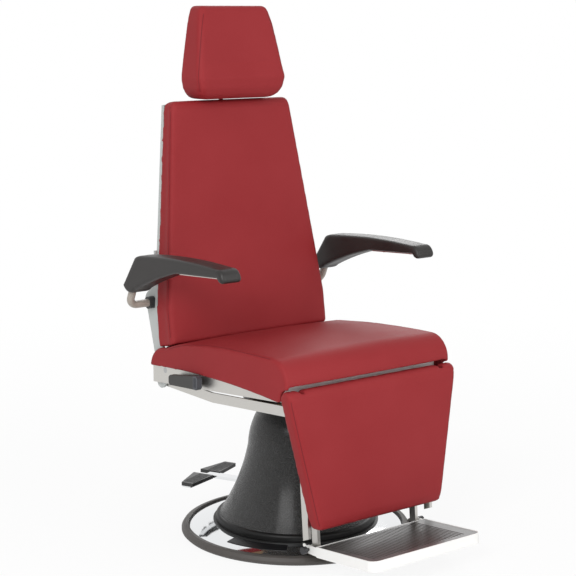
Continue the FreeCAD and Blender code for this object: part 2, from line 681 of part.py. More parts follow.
# Pump, piston and swivel
housing = [
    rod("pump_barrel", "Z", "housing_radius", "housing_top - dome_under", z="dome_under"),
    rod("pump_flange", "Z", "housing_flange_radius", "flange_top - dome_under", z="dome_under"),
]
for label, side in SIDES:
    low = "pedal_lug_start" if side > 0 else "-pedal_pin_half"
    high = "pedal_pin_half" if side > 0 else "-pedal_lug_start"
    housing.append(pedal_block("pump_lug_" + label, low, high, "housing_radius / 2",
                               "pedal_pivot_reach", "pedal_pivot_height - pedal_hub_radius",
                               "pedal_pivot_height + pedal_hub_radius"))
    x, y = pedal_spot(low, "pedal_pivot_reach")
    housing.append(rod("pump_eye_" + label, "X", "pedal_hub_radius", "pedal_lug_thickness", x, y,
                       "pedal_pivot_height", "pedal_turn"))
name_it(cut("pump_housing", join("pump_blank", housing),
            pedal_rod("pump_pin_bore", "pedal_pin_radius", "pedal_pin_half"),
            rod("pump_bore", "Z", "housing_bore", "housing_top", z="piston_bottom - housing_floor"),
            group("pump_bolt_holes", bolt_ring("pump_bolt_hole", "base_bolt_radius", "bolt_low",
                                               "flange_top + overrun - bolt_low"))),
        "pump_housing")
shanks = bolt_ring("bolt_shank", "base_bolt_radius", "bolt_low", "flange_top - bolt_low")
heads = bolt_ring("bolt_head", "base_bolt_head", "flange_top", "base_bolt_head_height")
name_it(group("base_bolts", [join("base_bolt", list(pair)) for pair in zip(shanks, heads)]),
        "base_bolts")
name_it(pedal_rod("pedal_pivot_pin", "pedal_pin_radius", "pedal_pin_half"), "pedal_pivot_pin")
name_it(rod("lift_piston", "Z", "piston_radius", "hub_bottom - piston_bottom", z="piston_bottom"),
        "lift_piston")
name_it(join("swivel_hub", [
    rod("hub_disc", "Z", "hub_radius", "hub_height", z="hub_bottom"),
    rod("hub_spindle", "Z", "spindle_radius", "spindle_top - hub_top", z="hub_top"),
]), "swivel_hub")
name_it(cut("swivel_nut", rod("nut_blank", "Z", "swivel_nut_radius", "swivel_nut_height", z="nut_bottom"),
            rod("nut_bore", "Z", "spindle_radius", "spindle_top")), "swivel_nut")

# Foot pedal
pedal = join("pedal_blank", [
    pedal_rod("pedal_hub", "pedal_hub_radius", "pedal_hub_width / 2"),
    pedal_block("pedal_arm", "-pedal_arm_width / 2", "pedal_arm_width / 2", "pedal_pivot_reach",
                "pedal_reach", "pedal_arm_low", "pedal_arm_low + pedal_arm_thickness"),
    pedal_block("pedal_tee", "-pedal_spread", "pedal_spread", "pedal_reach - pedal_tee_width / 2",
                "pedal_reach + pedal_tee_width / 2", "pedal_tee_low", "pedal_arm_low"),
])
name_it(cut("pedal_lever", pedal, pedal_rod("pedal_bore", "pedal_pin_radius + running_gap",
                                            "pedal_pin_half + overrun")), "pedal_lever")
pads = []
for label, side in SIDES:
    sign = "" if side > 0 else "-"
    inner, outer = sign + "pedal_pad_inner", sign + "(pedal_spread + pedal_rib_width)"
    pad = plate("pedal_pad_" + label, [
        (inner, "pedal_reach + pedal_pad_inner_out"), (outer, "pedal_reach + pedal_pad_outer_out"),
        (outer, "pedal_reach - pedal_pad_outer_in"), (inner, "pedal_reach - pedal_pad_inner_in"),
    ], "pedal_arm_low", "pedal_pad_height", role="XY_Plane")
    put(pad, yaw="pedal_turn")
    ribs = []
    for number in range(int(S.pedal_rib_count)):
        start = "pedal_pad_inner + pedal_rib_width * %d" % (2 * number + 1)
        low = start if side > 0 else "-(%s + pedal_rib_width)" % start
        high = start + " + pedal_rib_width" if side > 0 else "-(%s)" % start
        ribs.append(pedal_block("pedal_groove", low, high, "pedal_reach - pedal_pad_outer_in",
                                "pedal_reach + pedal_pad_outer_out",
                                "pedal_pad_top - pedal_rib_height", "pedal_pad_top + overrun"))
    pads.append(cut("pedal_pad_ribbed_" + label, pad, group("pedal_grooves_" + label, ribs)))
name_it(group("pedal_pads", pads), "pedal_pads")


# Seat frame
def seat_point(place, rise="0"):
    """Side view point at y = place, rise above the seat frame's lower line."""
    return (place, "seat_line_height - seat_slope * (%s) + (%s)" % (place, rise))


def seat_band(rear, front, low, high):
    """Side view of a bar that lies along the tilted seat frame."""
    return [seat_point(rear, low), seat_point(front, low), seat_point(front, high),
            seat_point(rear, high)]


BACK_PIVOT = ("back_pivot_place", "back_pivot_height")
LEG_PIVOT = ("-leg_pivot_place", "leg_pivot_height")
LINK_REAR = ("link_rear_y", "link_rear_z")
LINK_FRONT = ("link_front_y", "link_front_z")
LINK_BEND = ("link_bend_place", "link_bend_z")
ARM_AXIS = ("arm_axis_place", "arm_axis_height")
RELEASE = ("release_place", "release_height")
bearers = []
for label, side in SIDES:
    low, wide = span(side, "bearer_place", "bearer_place + bearer_thickness")
    foot = "bearer_half * bearer_foot_share"
    bearers.append(plate("bearer_" + label, [
        (foot, "mount_top"), seat_point("bearer_half", "tube_rise"),
        seat_point("-bearer_half", "tube_rise"), ("-" + foot, "mount_top"),
    ], low, wide))
    low, wide = span(side, "plate_inside", "plate_outside")
    holes = [BACK_PIVOT + ("back_pin_radius",)]
    if side < 0:
        holes.append(RELEASE + ("release_shaft_radius + running_gap",))
    name_it(plate("seat_plate_" + label,
                  seat_band("seat_plate_rear", "-seat_plate_front", "0", "seat_plate_height"),
                  low, wide, holes), "seat_plate_" + label)
mount_disc = rod("mount_disc", "Z", "mount_plate_radius", "mount_plate_thickness", z="mount_bottom")
name_it(cut("seat_mount_bracket", join("mount_blank", [mount_disc] + bearers),
            rod("mount_bore", "Z", "spindle_radius + running_gap", "spindle_top")),
        "seat_mount_bracket")


def seat_tube(name, centre):
    """Square tube across the seat frame, centred on y = centre."""
    half = "tube_size / 2"
    outside = seat_band(centre + " + " + half, centre + " - " + half, "tube_rise",
                        "tube_rise + tube_size")
    inside = seat_band(centre + " + %s - tube_wall" % half, centre + " - %s + tube_wall" % half,
                       "tube_rise + tube_wall", "tube_rise + tube_size - tube_wall")
    return cut(name, plate(name + "_outside", outside, "-plate_inside", "2 * plate_inside"),
               plate(name + "_inside", inside, "-plate_inside", "2 * plate_inside"))


name_it(plate("seat_board", seat_band("board_rear", "soft_gap - strip_back", "board_low", "board_high"),
              "-board_half_width", "2 * board_half_width"), "seat_board")
knee_pieces = [block("knee_bar", ("2 * plate_inside", "strip_thickness", "strip_height"),
                     "-plate_inside", "-strip_place", "strip_low")]
leg_pins = []
for label, side in SIDES:
    low, wide = span(side, "lug_in", "lug_out")
    knee_pieces.append(rod("knee_eye_" + label, "X", "leg_lug_radius", wide, low, *LEG_PIVOT))
    knee_pieces.append(block("knee_lug_" + label,
                             (wide, "leg_pivot_place - strip_back", "2 * leg_lug_radius"),
                             low, "-leg_pivot_place", "leg_pivot_height - leg_lug_radius"))
    low, wide = span(side, "lug_in", "arm_out")
    leg_pins.append(rod("leg_pin_" + label, "X", "leg_pin_radius", wide, low, *LEG_PIVOT))
name_it(cut("knee_strip", join("knee_blank", knee_pieces),
            rod("knee_bore", "X", "leg_pin_radius", "2 * arm_out", "-arm_out", *LEG_PIVOT)),
        "knee_strip")
name_it(group("legrest_pivot_pins", leg_pins), "legrest_pivot_pins")
back_pins = []
for label, side in SIDES:
    inside = "arm_in" if side < 0 else "back_in"
    head_face = inside + " - loose_gap / 2"
    low, wide = span(side, head_face + " - pin_head_height", "plate_outside")
    pin = rod("back_pin_" + label, "X", "back_pin_radius", wide, low, *BACK_PIVOT)
    low, wide = span(side, head_face + " - pin_head_height", head_face)
    head = rod("back_pin_head_" + label, "X", "pin_head_radius", wide, low, *BACK_PIVOT)
    back_pins.append(join("back_pin_whole_" + label, [pin, head]))
name_it(group("back_pivot_pins", back_pins), "back_pivot_pins")

# Seat cushion
pivot_back = Vector(0, S.back_pivot_place, S.back_pivot_height)
pivot_leg = Vector(0, -S.leg_pivot_place, S.leg_pivot_height)


def around(centre, radius, degrees):
    """The (y, z) point at an angle from the rearward direction, on a circle in side view."""
    angle = math.radians(degrees)
    return (centre.y + radius * math.cos(angle), centre.z + radius * math.sin(angle))


def spots(corners):
    """The numbers of a side view outline that is written in formulas."""
    return [(value(c[0]), value(c[1])) + tuple(c[2:]) for c in corners]


# Directions on the circles about the two hinges, in degrees from straight back
SEAT_ROLL_TURNS = (50, 97)
NOSE_TURNS = (90, 135, 180)
KNEE_TURNS = (45, -15)


def seat_outline(drop):
    """Side view of the seat cushion, its top and nose lowered by drop."""
    rear = S.seat_rear_radius - drop
    skirt = math.degrees(math.asin((S.seat_skirt_rear_height - S.back_pivot_height) / rear))
    knee = S.leg_front + S.knee_gap
    front = -(S.seat_nose_place + S.seat_nose_radius) + drop
    across = front + S.leg_pivot_place
    knee_start = (front, S.leg_pivot_height + math.sqrt(knee ** 2 - across ** 2))
    nose = Vector(0, -S.seat_nose_place, S.seat_nose_height)
    nose_radius = S.seat_nose_radius - drop
    return [
        around(pivot_back, rear, skirt), around(pivot_back, rear, SEAT_ROLL_TURNS[0]) + ("arc",),
        around(pivot_back, rear, SEAT_ROLL_TURNS[1]),
        (S.seat_back_dip, S.seat_back_dip_height - drop, "arc"),
        (S.seat_rise_place, S.seat_rise_height - drop),
        (-S.seat_mid_place, S.seat_mid_height - drop, "arc"),
        around(nose, nose_radius, NOSE_TURNS[0]), around(nose, nose_radius, NOSE_TURNS[1]) + ("arc",),
        around(nose, nose_radius, NOSE_TURNS[2]), knee_start,
        around(pivot_leg, knee, KNEE_TURNS[0]) + ("arc",), around(pivot_leg, knee, KNEE_TURNS[1]),
        (-S.seat_skirt_front_place, S.seat_skirt_front_height),
        (S.seat_skirt_mid_place, S.seat_skirt_mid_height, "arc"),
    ]


# Where the seat's crown is given, as shares of the half width and of the crown's height
seat_crown_shares = ((0.72, 0.45), (0.3, 0.9))
half = S.seat_half_width
stations = [(half, S.seat_end_round), (half - S.seat_end_round / 3, S.seat_end_round / 3),
            (half - S.seat_end_round, 0)]
stations += [(half * across, -S.seat_crown * high) for across, high in seat_crown_shares]
sections = [(-x, drop) for x, drop in stations] + [(x, drop) for x, drop in reversed(stations)]
seat = loft([wire_yz(x, seat_outline(drop)) for x, drop in sections])
pocket_side = S.plate_outside + S.soft_gap
pocket = side_slab(spots(seat_band("seat_plate_rear - 3 * seat_end_round", "-strip_place - soft_gap",
                                   "-2 * tube_size", "board_high + soft_gap")),
                   -pocket_side, pocket_side)
seat = seat.cut(pocket)
seat = seat.cut(brick((-pocket_side, -S.leg_pivot_place - S.tube_size, S.strip_low - S.tube_size),
                      (pocket_side, -S.strip_back + S.soft_gap, S.seat_lip_height)))
for label, side in SIDES:
    low, high = both(side, S.plate_inside - S.soft_gap, pocket_side)
    slot = side_slab(spots(seat_band("seat_plate_rear + seat_end_round", "-seat_plate_front - soft_gap",
                                     "-2 * tube_size", "seat_plate_height + soft_gap")), low, high)
    seat = seat.cut(slot)
    low, high = both(side, S.link_in - S.layer_gap, S.plate_inside - S.soft_gap)
    sweep = S.seat_rear_radius + S.overrun
    seat = seat.cut(brick((low, S.back_pivot_place - S.tube_size, S.back_pivot_height - sweep),
                          (high, S.back_pivot_place + sweep, S.back_pivot_height + sweep + S.overrun)))
low, high = both(-1, S.arm_in - 2 * S.layer_gap - S.pin_head_height, S.link_in - S.layer_gap / 2)
seat = seat.cut(bar(pivot_back + X_AXIS * low, X_AXIS, S.brake_radius + S.layer_gap, high - low))
fixed("seat_cushion", seat)

# Legrest
leg_tilt = math.radians(S.leg_tilt)
leg_down = Vector(0, -math.sin(leg_tilt), -math.cos(leg_tilt))
leg_back = Vector(0, math.cos(leg_tilt), -math.sin(leg_tilt))


def leg(down, back, across=0):
    """A point given down the legrest from its pivot, behind its middle plane, and across."""
    return pivot_leg + leg_down * down + leg_back * back + X_AXIS * across


def leg_section(down, front, rear, crown, inset):
    """Cross section of the legrest cushion with a crowned front and drawn-in sides."""
    wide = S.leg_top_half_width - S.leg_taper * max(down, 0) - inset
    corner = min(S.leg_corner, (rear + front) / 3)
    turn = corner * S.corner_share
    places = [(-wide + turn, rear), (-wide, rear - corner), (-wide, -front + corner),
              (-wide + turn, -front + turn), (-wide + corner, -front), (0, -front - crown),
              (wide - corner, -front), (wide - turn, -front + turn), (wide, -front + corner),
              (wide, rear - corner), (wide - turn, rear)]
    p = [leg(down, back, across) for across, back in places]
    edges = [Part.LineSegment(p[0], p[1]), Part.LineSegment(p[1], p[2]), Part.Arc(p[2], p[3], p[4]),
             Part.Arc(p[4], p[5], p[6]) if crown > S.running_gap else Part.LineSegment(p[4], p[6]),
             Part.Arc(p[6], p[7], p[8]), Part.LineSegment(p[8], p[9]), Part.LineSegment(p[9], p[10]),
             Part.LineSegment(p[10], p[0])]
    return Part.Wire([edge.toShape() for edge in edges])


# The round top edge, as shares of its radius, and the crown down the length, as shares of
# the length and of the crown's height
leg_roll_shares = (0.92, 0.75, 0.45)
leg_crown_shares = ((0.3, 0.9), (0.6, 1))
edge_crown_share, foot_crown_share, foot_edge_share = 0.1, 0.5, 0.3
roll = S.leg_front
small_crown = S.leg_crown * edge_crown_share
leg_sections = []
for share in leg_roll_shares:
    deep = roll * math.sqrt(1 - share ** 2)
    leg_sections.append(leg_section(-roll * share, deep, min(deep, S.leg_rear), small_crown,
                                    S.leg_corner * share ** 4 / 2))
leg_sections.append(leg_section(S.leg_corner, roll, S.leg_rear, small_crown * 2, 0))
for along, high in leg_crown_shares:
    leg_sections.append(leg_section(S.leg_length * along, roll, S.leg_rear, S.leg_crown * high, 0))
edge = S.leg_corner * foot_edge_share
leg_sections += [
    leg_section(S.leg_length - roll, roll, S.leg_rear, S.leg_crown * foot_crown_share, 0),
    leg_section(S.leg_length - edge, roll - edge, S.leg_rear - edge, small_crown * 2, edge),
    leg_section(S.leg_length, roll - S.leg_corner, S.leg_rear - S.leg_corner, small_crown,
                S.leg_corner),
]


def leg_block(name, low, wide, start, end, front, rear):
    """Box along the legrest, given down from its pivot and back from its middle plane."""
    return block(name, (wide, "(%s) - (%s)" % (rear, front), "(%s) - (%s)" % (end, start)), low,
                 "-leg_pivot_place + cos(leg_tilt) * (%s) - sin(leg_tilt) * (%s)" % (front, end),
                 "leg_pivot_height - sin(leg_tilt) * (%s) - cos(leg_tilt) * (%s)" % (front, end),
                 roll="-leg_tilt")


def on_leg(body):
    """Place a body that is drawn in the legrest's own plane."""
    return put(body, "0", LEG_PIVOT[0], LEG_PIVOT[1], roll="-leg_tilt")


def leg_board(name, start, end, inset, front, rear):
    """Flat board that follows the legrest's tapering sides."""
    wide = "(leg_top_half_width - leg_taper * (%s) - (%s))"
    corners = [("-" + wide % (start, inset), "-(%s)" % start), ("-" + wide % (end, inset), "-(%s)" % end),
               (wide % (end, inset), "-(%s)" % end), (wide % (start, inset), "-(%s)" % start)]
    return on_leg(plate(name, corners, "-(%s)" % rear, "(%s) - (%s)" % (rear, front), role="XZ_Plane"))


leg_slots = []
slot_radius = "(leg_lug_radius + leg_slot_side)"
for label, side in SIDES:
    low, wide = span(side, "lug_in - leg_slot_side", "arm_out + leg_slot_side")
    leg_slots.append(leg_block("leg_slot_" + label, low, wide, "-leg_front - overrun",
                               "leg_cross_drop", "-" + slot_radius, "leg_rear + overrun"))
board_room = leg_board("leg_board_room", "leg_board_start - soft_gap", "leg_board_end + soft_gap",
                       "leg_board_inset - soft_gap", "leg_rear - leg_board_thickness",
                       "leg_rear + overrun")
leg_blank = doc.addObject("Part::Feature", "leg_blank")
leg_blank.Shape = loft(leg_sections)
name_it(cut("legrest_cushion", leg_blank, board_room, *leg_slots), "legrest_cushion")
name_it(cut("legrest_board", leg_board("leg_board_blank", "leg_board_start", "leg_board_end",
                                       "leg_board_inset", "leg_rear - leg_board_thickness",
                                       "leg_rear"), *leg_slots), "legrest_board")
bracket = [leg_block("leg_cross", "-arm_in", "2 * arm_in", "leg_cross_drop", "leg_cross_end",
                     "leg_rear", "leg_cross_rear")]
arm_start = "((leg_pivot_height - link_front_z) * cos(leg_tilt) - link_rear_offset * sin(leg_tilt))"
for label, side in SIDES:
    low, wide = span(side, "arm_in", "arm_out")
    bracket.append(lever("leg_arm_" + label, LEG_PIVOT, LINK_FRONT, "leg_lug_radius", low, wide))
    bracket.append(leg_block("leg_arm_end_" + label, low, wide, arm_start, "leg_cross_end",
                             "leg_rear", "leg_cross_rear + leg_lug_radius"))
bracket = cut("leg_bracket_bored", join("leg_bracket_blank", bracket),
              rod("leg_arm_bore", "X", "leg_pin_radius + running_gap", "2 * arm_out", "-arm_out",
                  *LEG_PIVOT))
link_pins = []
for label, side in SIDES:
    low, wide = span(side, "arm_in", "link_out")
    link_pins.append(rod("link_front_pin_" + label, "X", "link_pin_radius", wide, low, *LINK_FRONT))
name_it(join("legrest_bracket", [bracket] + link_pins), "legrest_bracket")

# Linkage between backrest and legrest
link = [rod("link_rod", "X", "link_rod_radius", "2 * link_in", "-link_in", "-link_rod_place",
            "link_rod_z")]
for label, side in SIDES:
    low, wide = span(side, "link_in", "link_out")
    link.append(lever("link_rear_bar_" + label, LINK_REAR, LINK_BEND, "link_radius", low, wide))
    link.append(lever("link_front_bar_" + label, LINK_BEND, LINK_FRONT, "link_radius", low, wide))
name_it(cut("recline_link", join("link_blank", link),
            rod("link_rear_bore", "X", "link_pin_radius + running_gap", "2 * link_out", "-link_out",
                *LINK_REAR),
            rod("link_front_bore", "X", "link_pin_radius + link_free_gap", "2 * link_out",
                "-link_out", *LINK_FRONT)), "recline_link")

# Footrest
stays, guides, frame = [], [], []
for label, side in SIDES:
    low, wide = span(side, "outer_bar_place - outer_bar_width / 2",
                     "outer_bar_place + outer_bar_width / 2")
    stays.append(on_leg(plate("footrest_stay_" + label, [
        ("leg_rear", "-outer_bar_start"), ("leg_rear", "leg_board_inset - leg_board_end"),
        ("outer_front", "-leg_board_end"), ("outer_front", "bar_slant - outer_bar_end"),
        ("outer_rear", "-outer_bar_end"), ("outer_rear", "-outer_bar_start"),
    ], low, wide)))
name_it(group("footrest_stays", stays), "footrest_stays")
TRAY_PIVOT = ("-tray_pivot_place", "tray_pivot_height")
frame.append(leg_block("frame_cross", "-inner_low", "2 * inner_low", "inner_bar_start",
                       "inner_bar_start + frame_cross_height", "inner_front", "inner_rear"))
for label, side in SIDES:
    low, wide = span(side, "inner_low", "inner_high")
    frame.append(leg_block("frame_bar_" + label, low, wide, "inner_bar_start", "tray_down",
                           "inner_front", "inner_rear"))
    frame.append(rod("frame_eye_" + label, "X", "tray_ear_radius", wide, low, *TRAY_PIVOT))
    for number in range(2):
        start = "guide_start + guide_pitch * %d" % number
        low, wide = span(side, "inner_low - guide_wall", "inner_high + guide_wall")
        guide = leg_block("guide_blank", low, wide, start, start + " + guide_length", "leg_rear",
                          "inner_rear + guide_wall")
        low, wide = span(side, "inner_low - slide_gap", "inner_high + slide_gap")
        guides.append(cut("guide", guide, leg_block(
            "guide_channel", low, wide, start + " - overrun", start + " + guide_length + overrun",
            "inner_front - slide_gap", "inner_rear + slide_gap")))
name_it(group("footrest_guides", guides), "footrest_guides")
name_it(cut("footrest_frame", join("frame_blank", frame),
            rod("frame_bore", "X", "tray_pin_radius", "2 * inner_high", "-inner_high", *TRAY_PIVOT)),
        "footrest_frame")


def rounded_plan(half_width, front, rear, corner):
    """Outline seen from above whose two front corners are round."""
    off = "(%s) * corner_share" % corner
    return [
        ("-(%s)" % half_width, "-(%s)" % rear), ("-(%s)" % half_width, "-(%s) + %s" % (front, corner)),
        ("-(%s) + %s" % (half_width, off), "-(%s) + %s" % (front, off), "arc"),
        ("-(%s) + %s" % (half_width, corner), "-(%s)" % front),
        ("(%s) - (%s)" % (half_width, corner), "-(%s)" % front),
        ("(%s) - %s" % (half_width, off), "-(%s) + %s" % (front, off), "arc"),
        (half_width, "-(%s) + %s" % (front, corner)), (half_width, "-(%s)" % rear),
    ]


def on_tray(thing):
    """Turn a thing that is drawn from the tray's hinge square to the legrest."""
    return put(thing, "0", TRAY_PIVOT[0], TRAY_PIVOT[1], roll="-leg_tilt")


def tray_layer(name, inset, low, height):
    """Flat layer of the tray with its plan drawn in by an inset."""
    return on_tray(plate(name, rounded_plan("tray_half_width - %s" % inset, "tray_reach - %s" % inset,
                                            "tray_rear_reach + %s" % inset,
                                            "(tray_corner - %s)" % inset),
                         low, height, role="XY_Plane"))


tray = cut("tray_pan", tray_layer("tray_outside", "0", "-tray_sink", "tray_height"),
           tray_layer("tray_recess", "tray_sheet", "tray_floor", "tray_height"),
           tray_layer("tray_hollow", "tray_sheet", "-tray_sink - overrun",
                      "tray_floor - tray_sheet + tray_sink + overrun"))
tray_pieces, knobs = [tray], []
for label, side in SIDES:
    low, wide = span(side, "tray_half_width - tray_sheet", "tray_half_width")
    tray_pieces.append(on_tray(lever("tray_ear_" + label, ("0", "0"),
                                     ("-tray_rear_reach - tray_corner", "tray_ear_radius - tray_sink"),
                                     "tray_ear_radius", low, wide)))
    tray_pieces.append(lever("tray_hook_" + label, TRAY_PIVOT,
                             ("tray_hook_reach - tray_pivot_place",
                              "tray_pivot_height + tray_hook_rise"), "tray_hook_radius", low, wide))
    low, wide = span(side, "inner_low", "tray_knob_place + tray_knob_length * 2 / 3")
    stem = rod("tray_pin_" + label, "X", "tray_pin_radius", wide, low, *TRAY_PIVOT)
    low, wide = span(side, "tray_knob_place", "tray_knob_place + tray_knob_length")
    knobs.append(join("tray_knob_" + label, [
        rod("tray_knob_head_" + label, "X", "tray_knob_radius", wide, low, *TRAY_PIVOT), stem]))
name_it(cut("footrest_tray", join("tray_blank", tray_pieces),
            rod("tray_bore", "X", "tray_pin_radius + running_gap", "2 * tray_half_width",
                "-tray_half_width", *TRAY_PIVOT)), "footrest_tray")
name_it(group("footrest_knobs", knobs), "footrest_knobs")
mat_blank = tray_layer("mat_blank", "mat_inset", "tray_floor", "mat_thickness")
grooves = []
for number in range(int(S.mat_rib_count)):
    across = "tray_corner - tray_half_width + mat_rib_width * %d" % (2 * number)
    groove = plate("mat_groove", [
        (across, "tray_corner - tray_reach"), (across + " + mat_rib_width", "tray_corner - tray_reach"),
        (across + " + mat_rib_width", "-tray_rear_reach - tray_corner / 2"),
        (across, "-tray_rear_reach - tray_corner / 2"),
    ], "mat_top - mat_rib_height", "mat_rib_height + overrun", role="XY_Plane")
    grooves.append(on_tray(groove))
name_it(cut("footrest_mat", mat_blank, group("mat_grooves", grooves)), "footrest_mat")

# Backrest
lean = math.radians(S.back_lean)
back_up = Vector(0, math.sin(lean), math.cos(lean))
back_rear = Vector(0, math.cos(lean), -math.sin(lean))
back_foot = Vector(0, S.back_foot_place, S.back_foot_height)


def back(up, rear, across=0):
    """A point given up the backrest from its foot, behind its front plane, and across."""
    return back_foot + back_up * up + back_rear * rear + X_AXIS * across


def back_half(up):
    """Half width of the backrest cushion at a height up its length."""
    share = max(up - S.back_straight, 0) / (S.back_length - S.back_straight)
    return S.back_half_low + (S.back_half_high - S.back_half_low) * share


def back_thick(up):
    return S.back_thick_low + (S.back_thick_high - S.back_thick_low) * up / S.back_length


def back_section(up, crown, inset, draw):
    """Cross section of the backrest cushion with a crowned front and drawn-in sides."""
    wide = back_half(up) - inset
    deep = back_thick(up) - inset / 2
    corner = S.back_corner
    turn = corner * S.corner_share
    middle = (deep + inset + corner) / 2
    places = [(-wide, deep), (-wide + draw, middle), (-wide, inset + corner),
              (-wide + turn, inset + turn), (-wide + corner, inset), (0, inset - crown),
              (wide - corner, inset), (wide - turn, inset + turn), (wide, inset + corner),
              (wide - draw, middle), (wide, deep)]
    p = [back(up, rear, across) for across, rear in places]
    edges = [Part.Arc(p[0], p[1], p[2]), Part.Arc(p[2], p[3], p[4]), Part.Arc(p[4], p[5], p[6]),
             Part.Arc(p[6], p[7], p[8]), Part.Arc(p[8], p[9], p[10]), Part.LineSegment(p[10], p[0])]
    return Part.Wire([edge.toShape() for edge in edges])


# Crown down the backrest, as shares of its length and of the crown's height, and then the
# rounded top, as shares of the corner and of the crown's height
back_crown_shares = ((0.45, 1), (0.75, 0.9))
back_top_shares = ((2, 0, 0.5), (0.7, 0.2, 0.3), (0.2, 0.55, 0.2), (0, 1, 0.1))
back_foot_crown_share = 0.4
length = S.back_length
draw = S.back_side_draw
back_sections = [back_section(-S.tube_size, S.back_crown * back_foot_crown_share, 0, draw),
                 back_section(S.back_straight, S.back_crown, 0, draw)]
for along, high in back_crown_shares:
    back_sections.append(back_section(length * along, S.back_crown * high, 0, draw))
for below, inset, high in back_top_shares:
    back_sections.append(back_section(length - S.back_corner * below, S.back_crown * high,
                                      S.back_corner * inset, draw))
back_pad = loft(back_sections)
sweep = S.back_sweep_radius
under = S.back_pivot_height - sweep
relief_share = 0.25
relief = S.back_foot_height + (S.back_foot_place - S.seat_rise_place) * relief_share
cutter = side_slab([(S.seat_rise_place, under), (S.back_pivot_place, under),
                    (S.back_pivot_place, S.back_pivot_height + sweep),
                    (S.back_foot_place, S.back_foot_height + S.soft_gap),
                    (S.seat_rise_place, relief)], -half - S.overrun, half + S.overrun)
cutter = cutter.fuse(bar(pivot_back - X_AXIS * (half + S.overrun), X_AXIS, sweep,
                         2 * (half + S.overrun)))
back_pad = back_pad.cut(cutter)


def back_panel(start, end, inset, front_inset, rear_inset):
    """A board on the backrest's rear face. The insets are measured forward from that face."""
    wires = []
    for up in (start, S.back_straight, end):
        wide = back_half(up) - inset
        near, far = back_thick(up) - front_inset, back_thick(up) - rear_inset
        corners = [back(up, near, -wide), back(up, far, -wide), back(up, far, wide),
                   back(up, near, wide)]
        wires.append(Part.makePolygon(corners + corners[:1]))
    return loft(wires)


back_board_end = length - S.back_board_inset
thick = S.board_thickness
back_pad = back_pad.cut(back_panel(S.panel_start - S.soft_gap, back_board_end + S.soft_gap,
                                   S.back_board_inset - S.soft_gap, thick, -S.overrun))
board_of_back = fixed("back_board", back_panel(S.panel_start, back_board_end, S.back_board_inset,
                                               thick, 0))
pan_low = S.panel_start - S.back_board_inset
pan = back_panel(pan_low, length - S.panel_inset, S.panel_inset, -S.soft_gap, -S.panel_depth)
pan = pan.cut(back_panel(pan_low + S.panel_sheet, length - S.panel_inset - S.panel_sheet,
                         S.panel_inset + S.panel_sheet, 0, -S.panel_depth + S.panel_sheet))
pan = pan.cut(bar(Vector(0, S.head_post_place, 0), Z_AXIS, S.head_post_radius + S.soft_gap,
                  S.head_top))


def rear_spot(up, behind):
    """Side view point behind the backrest's rear face, in formulas."""
    rear = "(back_thick_low + (back_thick_high - back_thick_low) * (%s) / back_length + (%s))" % (
        up, behind)
    return ("back_foot_place + sin(back_lean) * (%s) + cos(back_lean) * %s" % (up, rear),
            "back_foot_height + cos(back_lean) * (%s) - sin(back_lean) * %s" % (up, rear))


def circle_spot(centre, radius, degrees):
    """Side view point at an angle on a circle about a centre, in formulas."""
    return ("%s + (%s) * cos(%s)" % (centre[0], radius, degrees),
            "%s + (%s) * sin(%s)" % (centre[1], radius, degrees))


pan_back = "panel_depth - 2 * panel_sheet"
HINGE_OUTLINE = [
    circle_spot(BACK_PIVOT, "hinge_foot_radius", 120), rear_spot("-panel_inset", "back_pan_gap"),
    rear_spot("hinge_plate_top", "back_pan_gap"), rear_spot("hinge_plate_top", pan_back),
    rear_spot("hinge_plate_top * hinge_plate_mid_share", pan_back),
    circle_spot(ARM_AXIS, "arm_bulge", 42), circle_spot(ARM_AXIS, "arm_bulge + layer_gap", 0) + ("arc",),
    circle_spot(ARM_AXIS, "arm_bulge", -42), circle_spot(LINK_REAR, "hinge_heel_radius", 62),
    circle_spot(LINK_REAR, "hinge_foot_radius", 15), circle_spot(LINK_REAR, "hinge_link_radius", -40),
    circle_spot(LINK_REAR, "hinge_link_radius", -90) + ("arc",),
    circle_spot(LINK_REAR, "hinge_link_radius", -150),
    circle_spot(BACK_PIVOT, "hinge_foot_radius", 200),
]
pan_slots = []
for label, side in SIDES:
    low, high = both(side, S.back_in - S.soft_gap, S.back_out + S.soft_gap)
    pan_slots.append(side_slab(spots(HINGE_OUTLINE), low, high))
    low, wide = span(side, "back_in", "back_out")
    hinge = plate("hinge_plate_" + label, HINGE_OUTLINE, low, wide,
                  [BACK_PIVOT + ("back_pin_radius + running_gap",),
                   ARM_AXIS + ("arm_bush_radius - arm_bush_flange",)])
    low, wide = span(side, "link_in", "back_out")
    pin = rod("link_rear_pin_" + label, "X", "link_pin_radius", wide, low, *LINK_REAR)
    name_it(join("back_hinge_plate_" + label, [hinge, pin]), "back_hinge_plate_" + label)
for slot in pan_slots:
    back_pad = back_pad.cut(slot)
    pan = pan.cut(slot)
cushion_of_back = fixed("back_cushion", back_pad)
pan_of_back = fixed("back_panel", pan)
tube_front, tube_rear = "back_pan_gap / 2", "panel_depth - panel_sheet - 2 * soft_gap"
name_it(plate("back_cross_bar", [
    rear_spot("back_cross_low - tube_size / 2", tube_front),
    rear_spot("back_cross_low + tube_size / 2", tube_front),
    rear_spot("back_cross_low + tube_size / 2", tube_rear),
    rear_spot("back_cross_low - tube_size / 2", tube_rear),
], "-back_in", "2 * back_in"), "back_cross_bar")

